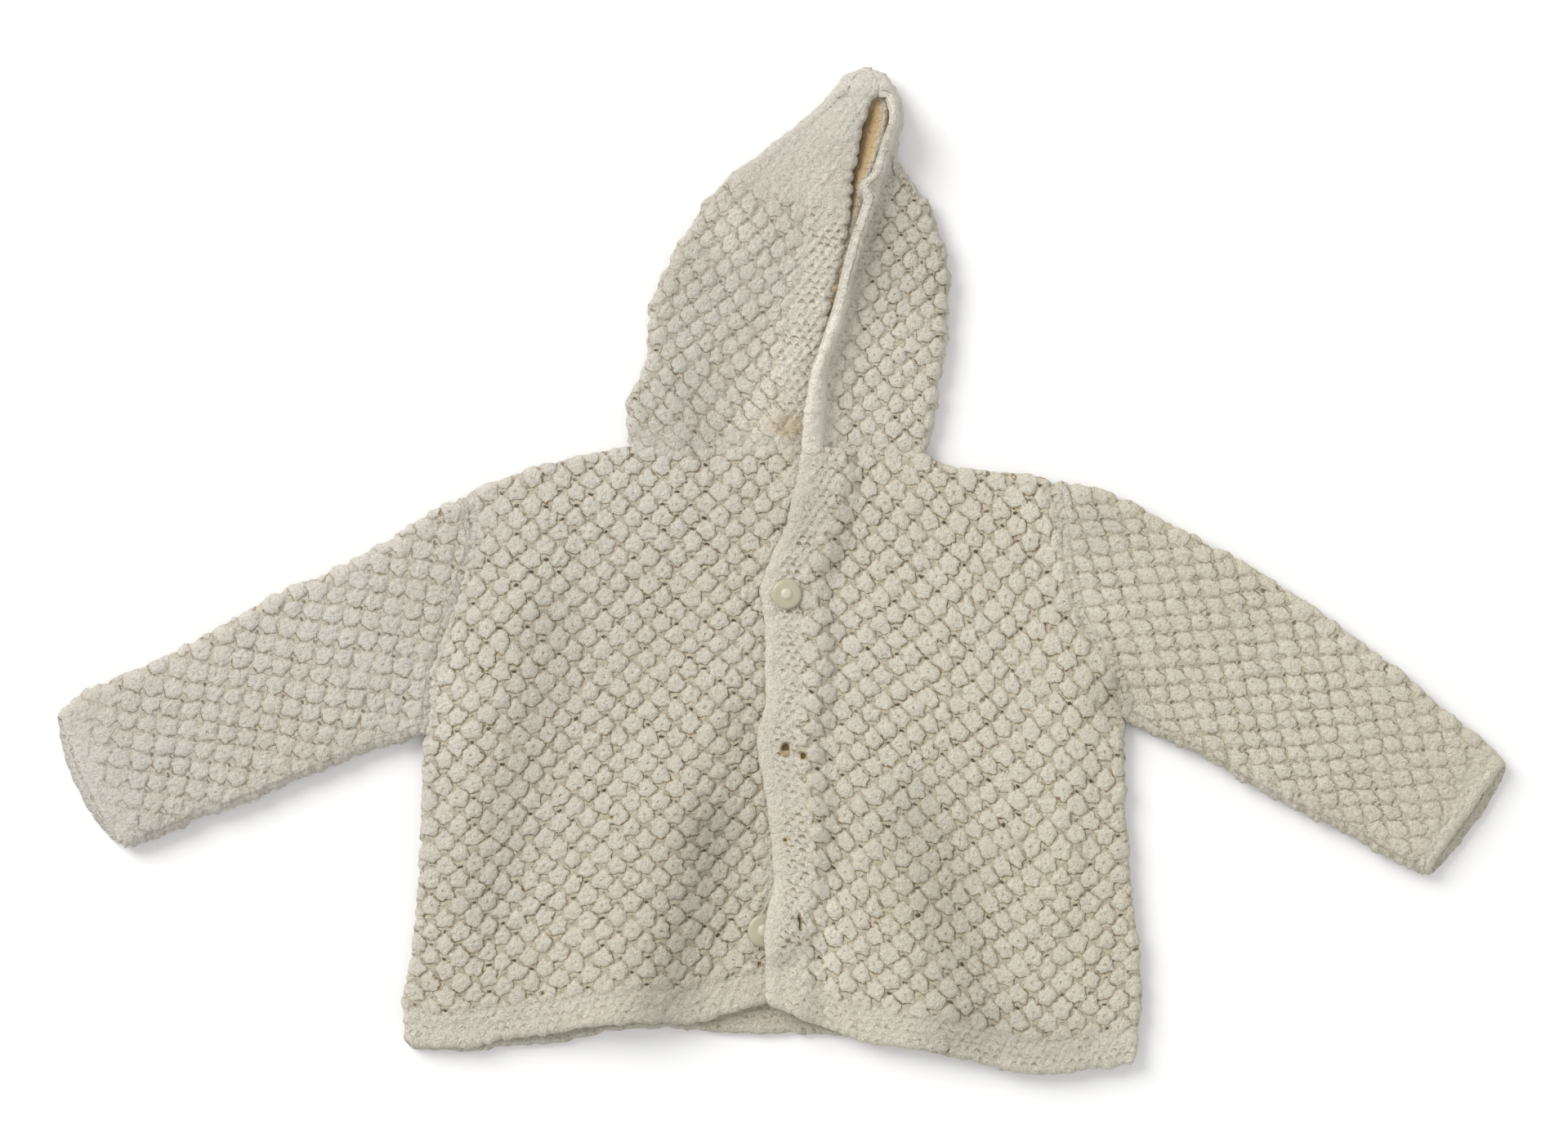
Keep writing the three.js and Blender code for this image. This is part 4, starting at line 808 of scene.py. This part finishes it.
    # painted shade on the hood's right half, with painted light low down and along the foot of the rim, fading out
    # towards the tip; its left half a little darker, with painted shade and light along the listed strips; painted
    # light on the right-hand rim
    side_shade = 0.45 - 0.85 * (1 - ease(92, 116, Yc)) - 0.9 * np.exp(-((X - er - 7.0) / 5.0) ** 2)
    kn.tone = kn.tone + np.where(right, side_shade * (1 - ease(150, 165, Yc)), shade_strips(X, Yc) + 0.35)
    kn.tone = kn.tone - 0.9 * isr * right
    i_left = nn["left"] + nn["bend"] // 2
    edge = np.exp(-((U - U[:, i_right:i_right + 1]) / 3.5) ** 2) + np.exp(-((U - U[:, i_left:i_left + 1]) / 3.5) ** 2)
    kn.h = kn.h + edge * (0.75 * noise(Yc / 4.1, 0 * Yc, 83.0) + 0.40 * noise(Yc / 1.9, U / 4.0, 84.0))
    kn.h = kn.h + isr * (0.38 * noise(Yc / 3.1, U / 4.0, 81.0) + 0.30 * noise(Yc / 1.7, U / 2.1, 82.0))
    kn.stain = np.where(left, 1.0 * bump_at(X, Yc, 2.5, 57, 10, 6) + 0.4 * bump_at(X, Yc, 18, 152, 22, 2), 0)
    nrm = -grid_normals(base)
    fine = base + nrm * kn.h[..., None]
    fine[..., 2] = np.maximum(fine[..., 2], 0.0)
    # within the hood the under layer climbs towards the right-hand wall; its inner side is painted brown for the shade
    # within, fading to pale
    el, er = (through(HOOD, "y", c)(Yc)[::k, ::k] for c in ("el", "er"))
    xi, yi, floor_ = X[::k, ::k], Yc[::k, ::k], inner[..., 2] < 6
    climb = ease(-4.0, 1.0, (xi - el) - 0.0 * er) * 0.25 + 0.75 * ease(el - 3, er - 0.8, xi)
    climb = climb * (1 - ease(er + 0.4, er + 4.4, xi)) * ease(88, 110, yi) * (1 - ease(181, 187, yi)) * (1 + 0.30 * ease(148, 158, yi))
    top_end = ease(168, 184, yi) * (1 - ease(188.5, 191, yi)) * ease(-5.0, -1.0, xi - el) * (1 - ease(er + 0.4, er + 4.4, xi))
    climb = np.maximum(climb, 1.05 * top_end)
    curl = bump_at(xi, yi, 32.2, 149.8, 3.6, 3.2)
    inner[..., 2] = inner[..., 2] + floor_ * (6.5 * climb + 2.4 * curl)
    # painted shade: the inner side brown, pale near the face edges, up the right-hand wall and on the curl
    brown = (ease(3.0, 9.0, ends) + 0 * X)[::k, ::k] * (1 - floor_ * np.clip(0.85 * ease(er - 3.4, er - 0.2, xi) * ease(100, 125, yi) + curl, 0, 1))
    ob = sheet_mesh(name, fine, inner, k, kn, True, coarse_inner_shade=brown)
    return ob


# ------------------------------------------------------------------- buttons
def button_piece(name, spec, z0, shank):
    R, h = spec["d"] / 2, spec["h"]
    pr = [(0, -shank), (SHANK_R, -shank), (SHANK_R, -0.1), (SHANK_R + 0.2, 0)] if shank > 0 else [(0, 0)]
    pr += [(0.70 * R, 0), (0.84 * R, 0.03 * h), (0.94 * R, 0.14 * h), (0.985 * R, 0.26 * h), (R, 0.38 * h), (0.985 * R, 0.49 * h),
           (0.94 * R, 0.58 * h), (0.86 * R, 0.655 * h), (0.74 * R, 0.70 * h), (0.60 * R, 0.72 * h), (0.46 * R, 0.72 * h),
           (0.385 * R, 0.735 * h), (0.345 * R, 0.79 * h), (0.32 * R, 0.86 * h), (0.27 * R, 0.93 * h), (0.19 * R, 0.975 * h),
           (0.10 * R, 0.995 * h), (0, h)]
    n = 72
    verts, fc = [], []
    ring = []
    for r, z in pr:
        if r < 1e-6:
            ring.append([len(verts)]); verts.append((spec["x"], spec["y"], z0 + z))
        else:
            ids = []
            for i in range(n):
                a = 2 * math.pi * i / n
                ids.append(len(verts)); verts.append((spec["x"] + r * math.cos(a), spec["y"] + r * math.sin(a), z0 + z))
            ring.append(ids)
    for a, b in zip(ring[:-1], ring[1:]):
        for i in range(n):
            j = (i + 1) % n
            if len(a) == 1:
                fc.append((a[0], b[j], b[i]))
            elif len(b) == 1:
                fc.append((a[i], a[j], b[0]))
            else:
                fc.append((a[i], a[j], b[j], b[i]))
    me = bpy.data.meshes.new(name)
    me.from_pydata([tuple(c / 1000 for c in v) for v in verts], [], fc)
    me.polygons.foreach_set("use_smooth", np.ones(len(me.polygons), bool))
    me.update()
    nub = me.attributes.new("nub", "FLOAT", "POINT")
    nub.data.foreach_set("value", np.array([1.0 if v[2] > z0 + 0.76 * h else 0.0 for v in verts], np.float32))
    ob = bpy.data.objects.new(name, me)
    bpy.context.scene.collection.objects.link(ob)
    return ob


def highest(face, spec):
    z = 0.0
    for a in range(0, 360, 15):
        for q in (0, 0.5, 1):
            z = max(z, float(face(np.array(spec["x"] + q * spec["d"] / 2 * math.cos(math.radians(a))),
                                  np.array(spec["y"] + q * spec["d"] / 2 * math.sin(math.radians(a))))))
    return z


# ----------------------------------------------------------------- materials
def wool_material():
    mat = bpy.data.materials.new("cream_wool")
    mat.use_nodes = True
    nt = mat.node_tree
    nt.nodes.clear()
    N, Lk = nt.nodes.new, nt.links.new
    out, bs = N("ShaderNodeOutputMaterial"), N("ShaderNodeBsdfPrincipled")
    Lk(bs.outputs[0], out.inputs[0])
    bs.inputs["Roughness"].default_value = 0.92
    bs.inputs["Specular IOR Level"].default_value = 0.18
    bs.inputs["Sheen Weight"].default_value = 0.20
    bs.inputs["Sheen Roughness"].default_value = 0.45
    bs.inputs["Sheen Tint"].default_value = (1.0, 0.97, 0.90, 1)
    tc = N("ShaderNodeTexCoord")

    def attr(name):
        a = N("ShaderNodeAttribute")
        a.attribute_name = name
        return a.outputs["Fac"]

    def tex(scale, detail=2.0, rough=0.5):
        t = N("ShaderNodeTexNoise")
        t.inputs["Scale"].default_value = scale
        t.inputs["Detail"].default_value = detail
        t.inputs["Roughness"].default_value = rough
        Lk(tc.outputs["Object"], t.inputs["Vector"])
        return t.outputs["Fac"]

    def blend(fac, a, b, mode="MIX"):
        m = N("ShaderNodeMix")
        m.data_type = "RGBA"
        m.blend_type = mode
        if hasattr(fac, "links") or not isinstance(fac, float):
            Lk(fac, m.inputs["Factor"])
        else:
            m.inputs["Factor"].default_value = fac
        for v, s in ((a, m.inputs["A"]), (b, m.inputs["B"])):
            if isinstance(v, tuple):
                s.default_value = (*v, 1)
            else:
                Lk(v, s)
        return m.outputs["Result"]

    def ramp(v, lo, hi, a=0.0, b=1.0):
        m = N("ShaderNodeMapRange")
        m.inputs["From Min"].default_value, m.inputs["From Max"].default_value = lo, hi
        m.inputs["To Min"].default_value, m.inputs["To Max"].default_value = a, b
        m.interpolation_type = "SMOOTHSTEP"
        Lk(v, m.inputs["Value"])
        return m.outputs["Result"]
    def math_(op, x, y=None, z=None):
        m = N("ShaderNodeMath")
        m.operation = op
        for k_, v in enumerate((x, y, z)):
            if v is None:
                continue
            if isinstance(v, (int, float)):
                m.inputs[k_].default_value = v
            else:
                Lk(v, m.inputs[k_])
        return m.outputs[0]

    def add(x, y): return math_("ADD", x, y)
    def mul(x, y): return math_("MULTIPLY", x, y)
    def sub(x, y): return math_("SUBTRACT", x, y)

    # stitch coordinates, roughened as hairy wool is
    wob_a, wob_b = sub(tex(430, 3, 0.6), 0.5), sub(tex(470, 3, 0.6), 0.5)
    fin_a, fin_b = sub(tex(1150, 2, 0.6), 0.5), sub(tex(1250, 2, 0.6), 0.5)
    pu = add(add(attr("pu"), mul(wob_a, 0.20)), mul(fin_a, 0.09))
    pv = add(add(attr("pv"), mul(wob_b, 0.20)), mul(fin_b, 0.09))
    gu, gv = add(attr("gu"), mul(wob_b, 0.8)), add(attr("gv"), mul(wob_a, 0.45))

    def cell(off):
        i, j = math_("ROUND", add(pu, off)), math_("FLOOR", add(pv, off + 0.45))
        sx = sub(add(pu, off), i)
        x, y = math_("ABSOLUTE", sx), sub(sub(add(pv, off), j), 0.0)
        key = add(add(mul(i, 2.399), mul(j, 4.13)), 7 * off)
        phi = math_("ARCTAN2", sub(y, BODY[2]), sx)
        lobe = add(1.0, mul(math_("SINE", add(mul(phi, 5), key)), LOBES[0]))
        lobe = add(lobe, mul(math_("SINE", add(mul(phi, 3), mul(key, 1.7))), LOBES[1]))
        lobe = add(lobe, mul(math_("SINE", mul(key, 1.3)), LOBES[2]))
        e = BODY[3]
        body = math_("POWER", add(math_("POWER", mul(x, 1 / BODY[0]), e),
                                  math_("POWER", math_("ABSOLUTE", mul(sub(y, BODY[2]), 1 / BODY[1])), e)), 1 / e)
        body = math_("DIVIDE", body, lobe)
        tip = math_("SQRT", add(math_("POWER", mul(x, 1 / TIP[0]), 2), math_("POWER", mul(math_("ABSOLUTE", sub(y, TIP[2])), 1 / TIP[1]), 2)))
        f = math_("SMOOTH_MIN", body, tip, 0.25)
        # a hole above the tip, and the mark in the middle of the bobble
        hole = math_("SQRT", add(math_("POWER", mul(x, 1 / 0.085), 2), math_("POWER", mul(math_("ABSOLUTE", sub(y, 0.465)), 1 / 0.052), 2)))
        dot = math_("SQRT", add(math_("POWER", mul(x, 1 / 0.045), 2), math_("POWER", mul(math_("ABSOLUTE", add(y, 0.01)), 1 / 0.05), 2)))
        # painted shade: outlines are strongest below and to the right of a bobble, the side away from the light
        lit = ramp(sub(mul(sx, 0.9), y), -0.30, 0.26, 0.40, 1.0)
        return f, hole, dot, lit
    fa, ha, da, la = cell(0.0)
    fb, hb_, db_, lb = cell(0.5)
    f, hole, dot = math_("MINIMUM", fa, fb), math_("MINIMUM", ha, hb_), math_("MINIMUM", da, db_)
    line = math_("MAXIMUM", mul(mul(ramp(fa, 0.93, 0.99), ramp(fa, 1.0, 1.085, 1.0, 0.0)), la),
                 mul(mul(ramp(fb, 0.93, 0.99), ramp(fb, 1.0, 1.085, 1.0, 0.0)), lb))
    line = math_("MAXIMUM", mul(line, ramp(f, 0.91, 0.97)), ramp(f, 1.0, 1.15, 0.0, 0.10))
    pit = ramp(hole, 0.55, 1.35, 1.0, 0.0)

    def dash(off):
        x = math_("PINGPONG", add(gu, off), 0.5)
        y = sub(math_("FRACT", add(gv, off)), 0.58)
        y = add(y, mul(math_("POWER", x, 2), 0.9))
        return math_("SQRT", add(math_("POWER", mul(x, 1 / 0.45), 2), math_("POWER", mul(math_("ABSOLUTE", y), 1 / 0.100), 2)))
    gline = ramp(math_("MINIMUM", dash(0.0), dash(0.5)), 0.45, 1.25, 1.0, 0.0)
    gline = mul(gline, ramp(tex(210, 3, 0.6), 0.32, 0.54, 0.15, 1.0))
    wb, wg = attr("wb"), attr("wg")
    felted = mul(ramp(tex(95, 3, 0.6), 0.30, 0.62, 0.50, 1.0), ramp(tex(240, 2, 0.6), 0.36, 0.58, 0.40, 1.0))
    crease = math_("MAXIMUM", mul(mul(line, wb), felted), mul(mul(gline, wg), mul(felted, 0.78)))
    holes = mul(mul(pit, wb), ramp(tex(160, 2), 0.43, 0.64, 0.05, 0.95))
    dots = mul(mul(ramp(dot, 0.5, 1.2, 1.0, 0.0), wb), ramp(tex(120, 2), 0.42, 0.58))

    top = blend(ramp(tex(14, 3), 0.35, 0.68), (0.664, 0.612, 0.486), (0.722, 0.680, 0.570))
    top = blend(ramp(tex(900, 4, 0.75), 0.30, 0.75), top, (0.820, 0.785, 0.685))
    top = blend(ramp(tex(1300, 3, 0.7), 0.54, 0.72, 0.0, 0.42), top, (0.420, 0.350, 0.225))
    low = blend(ramp(tex(260, 2), 0.3, 0.7), (0.205, 0.108, 0.020), (0.335, 0.212, 0.060))
    # painted shade: a darker, yellower colour down between the bobbles, for the shade and warm bounced light there
    top = blend(mul(ramp(f, 0.70, 1.02, 0.0, 0.36), wb), top, (0.560, 0.455, 0.270))
    # painted shade: dark brown lines in the crevices round each bobble and under each garter ridge, dark dimples at the
    # bobbles' middles and near-black holes above their tips
    col = blend(ramp(crease, 0.0, 0.92, 0.0, 0.92), top, low)
    col = blend(ramp(dots, 0.0, 1.0, 0.0, 0.40), col, low)
    col = blend(ramp(holes, 0.0, 1.0, 0.0, 0.92), col, (0.080, 0.050, 0.018))
    col = blend(ramp(attr("stain"), 0.1, 1.0, 0.0, 0.45), col, (0.58, 0.40, 0.17))
    # painted shade: inner sides coloured brown, as seen in the hood's opening and at the cuffs
    col = blend(ramp(attr("inside"), 0.0, 1.0, 0.0, 0.94), col, (0.690, 0.480, 0.225))
    # painted shade and light: the tone mask darkens the colour, or lightens it where negative
    col = blend(1.0, col, sub(1.0, mul(attr("tone"), 0.12)), "MULTIPLY")
    # painted shade in the pressed holes: tan round their edges, dark brown further in
    col = blend(ramp(attr("hole"), 0.10, 0.45, 0.0, 0.90), col, (0.500, 0.400, 0.225))
    col = blend(ramp(attr("hole"), 0.60, 0.95, 0.0, 0.97), col, (0.150, 0.088, 0.028))
    xyz = N("ShaderNodeSeparateXYZ")
    Lk(tc.outputs["Object"], xyz.inputs[0])
    place = sub(xyz.outputs[0], mul(xyz.outputs[1], 0.8))
    # colour bluer towards the upper left, yellower towards the lower right
    col = blend(1.0, col, blend(ramp(place, -0.22, 0.20), (0.995, 0.998, 1.055), (1.0, 0.995, 0.975)), "MULTIPLY")
    deep = math_("MAXIMUM", math_("MAXIMUM", crease, mul(holes, 1.5)), mul(dots, 0.4))
    Lk(col, bs.inputs["Base Color"])
    def bump(height, strength, dist, prev=None):
        n_ = N("ShaderNodeBump")
        n_.inputs["Strength"].default_value = strength
        n_.inputs["Distance"].default_value = dist
        Lk(height, n_.inputs["Height"])
        if prev is not None:
            Lk(prev, n_.inputs["Normal"])
        return n_.outputs[0]
    nrm = bump(tex(1500, 4, 0.65), 0.7, 0.0005)
    nrm = bump(tex(620, 4, 0.65), 0.95, 0.0023, nrm)
    nrm = bump(sub(1.0, deep), 0.8, 0.0009, nrm)
    Lk(nrm, bs.inputs["Normal"])
    return mat


def button_material():
    mat = bpy.data.materials.new("cream_button")
    mat.use_nodes = True
    nt = mat.node_tree
    bs = nt.nodes["Principled BSDF"]
    bs.inputs["Roughness"].default_value = 0.28
    bs.inputs["IOR"].default_value = 1.5
    bs.inputs["Subsurface Weight"].default_value = 0.12
    bs.inputs["Subsurface Radius"].default_value = (0.0016, 0.0013, 0.0007)
    bs.inputs["Subsurface Scale"].default_value = 1.0
    tc, nz, mp = nt.nodes.new("ShaderNodeTexCoord"), nt.nodes.new("ShaderNodeTexNoise"), nt.nodes.new("ShaderNodeValToRGB")
    nz.inputs["Scale"].default_value = 180
    nz.inputs["Detail"].default_value = 4
    nt.links.new(tc.outputs["Object"], nz.inputs["Vector"])
    nt.links.new(nz.outputs["Fac"], mp.inputs["Fac"])
    mp.color_ramp.elements[0].position, mp.color_ramp.elements[1].position = 0.35, 0.7
    mp.color_ramp.elements[0].color = (0.440, 0.405, 0.290, 1)
    mp.color_ramp.elements[1].color = (0.490, 0.455, 0.330, 1)
    nub, pale = nt.nodes.new("ShaderNodeAttribute"), nt.nodes.new("ShaderNodeMix")
    nub.attribute_name = "nub"
    pale.data_type = "RGBA"
    pale.inputs["B"].default_value = (0.580, 0.545, 0.430, 1)
    nt.links.new(nub.outputs["Fac"], pale.inputs["Factor"])
    nt.links.new(mp.outputs["Color"], pale.inputs["A"])
    nt.links.new(pale.outputs["Result"], bs.inputs["Base Color"])
    bp = nt.nodes.new("ShaderNodeBump")
    bp.inputs["Strength"].default_value = 0.15
    bp.inputs["Distance"].default_value = 0.0002
    nt.links.new(nz.outputs["Fac"], bp.inputs["Height"])
    nt.links.new(bp.outputs[0], bs.inputs["Normal"])
    return mat


# ------------------------------------------------------------------ assembly
wool, plastic = wool_material(), button_material()
back_plan = body_plan(side_right, side_left, hem_back)
right_plan = body_plan(side_right, lambda y: free_edge(y) + lap(y), hem_right)
left_plan = body_plan(free_edge, side_left, hem_left)

made = {}
RES_MAIN = RES
RES = RES_MAIN * 1.5
made["back"] = back_piece("knit_back", back_plan, pattern_back, (285, 235))
RES = RES_MAIN
made["front_right"] = front_piece("knit_front_right", right_plan, under_front, pattern_right, (152, 228))
made["front_left"] = front_piece("knit_front_left", left_plan, top_front, pattern_left, (140, 235), smooth=0.35)
RES = RES_MAIN * 1.12
made["sleeve_right"] = sleeve_piece("knit_sleeve_right", SLEEVE_RIGHT, side_right, -1, CUFF_BOW["right"], 10.8, 11.05, (-54.7, 34.4), 500.0, 0.08, 0.0)
made["sleeve_left"] = sleeve_piece("knit_sleeve_left", SLEEVE_LEFT, side_left, 1, CUFF_BOW["left"], 9.3, 11.2, (51.0, 148.0), 600.0, 0.12, 1.0)
RES = RES_MAIN * 1.0
made["hood"] = hood_piece("knit_hood")
RES = RES_MAIN

z_top = highest(top_front, TOP_BUTTON) + WALL - 0.7
shank = z_top - float(top_front(np.array(TOP_BUTTON["x"]), np.array(TOP_BUTTON["y"]))) - 0.2
made["button_top"] = button_piece("disc_button_top", TOP_BUTTON, z_top, shank)
made["button_low"] = button_piece("disc_button_low", LOW_BUTTON, highest(under_front, LOW_BUTTON) + WALL - 0.3, 0)

for node, ob in made.items():
    is_btn = node.startswith("button")
    ob.data.materials.clear()
    ob.data.materials.append(plastic if is_btn else wool)
    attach(ob, "root")
    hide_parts(node)

# what each piece was knitted to, laid out flat, in metres
CUTS = {"back": ((0.290, 0.246), 0.0614), "front_right": ((0.169, 0.236), 0.0332), "front_left": ((0.150, 0.247), 0.0318),
        "sleeve_right": ((0.190, 0.182), 0.0222), "sleeve_left": ((0.196, 0.212), 0.0252), "hood": ((0.260, 0.150), 0.0290)}
for node, (flat, area) in CUTS.items():
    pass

# --------------------------------------------------------- floor, light, camera
bpy.ops.mesh.primitive_plane_add(size=6, location=(0, 0, -0.0004))
floor = bpy.context.object
floor.name = "floor"
fm = bpy.data.materials.new("floor_white")
fm.use_nodes = True
fb = fm.node_tree.nodes["Principled BSDF"]
fb.inputs["Base Color"].default_value = (0.96, 0.96, 0.96, 1)
fb.inputs["Roughness"].default_value = 0.9
fb.inputs["Specular IOR Level"].default_value = 0.1
floor.data.materials.append(fm)

scene = bpy.context.scene
world = bpy.data.worlds.new("studio")
scene.world = world
world.use_nodes = True
world.node_tree.nodes["Background"].inputs[0].default_value = (1.0, 1.0, 1.0, 1)
world.node_tree.nodes["Background"].inputs[1].default_value = 0.63


def area(name, loc, target, size, power, color=(1, 1, 1)):
    ld = bpy.data.lights.new(name, "AREA")
    ld.shape = "DISK"
    ld.size = size
    ld.energy = power
    ld.color = color
    lo = bpy.data.objects.new(name, ld)
    scene.collection.objects.link(lo)
    lo.location = loc
    d = np.array(target) - np.array(loc)
    from mathutils import Vector
    lo.rotation_euler = Vector(d).to_track_quat("-Z", "Y").to_euler()
    return lo


area("key", (-2.7, 2.3, 2.9), (0, 0, 0), 3.0, 158, (1.0, 0.985, 0.955))
area("fill", (1.3, -0.6, 2.6), (0, 0, 0), 2.4, 8.0, (0.97, 0.98, 1.0))

DIST, FRAME_W = 2.4, 0.6141
cam = bpy.data.cameras.new("camera")
cam.sensor_width = 36.0
cam.sensor_fit = "HORIZONTAL"
cam.lens = 36.0 * DIST / FRAME_W
cam.clip_start, cam.clip_end = 0.05, 20
co = bpy.data.objects.new("camera", cam)
scene.collection.objects.link(co)
co.location = (0, 0, DIST + 0.008)
co.rotation_euler = (0, 0, 0)
scene.camera = co
scene.view_settings.view_transform = "Standard"
scene.view_settings.look = "None"

tris = {n: sum(len(p_.vertices) - 2 for p_ in o.data.polygons) for n, o in made.items()}
print("triangles", tris, sum(tris.values()))
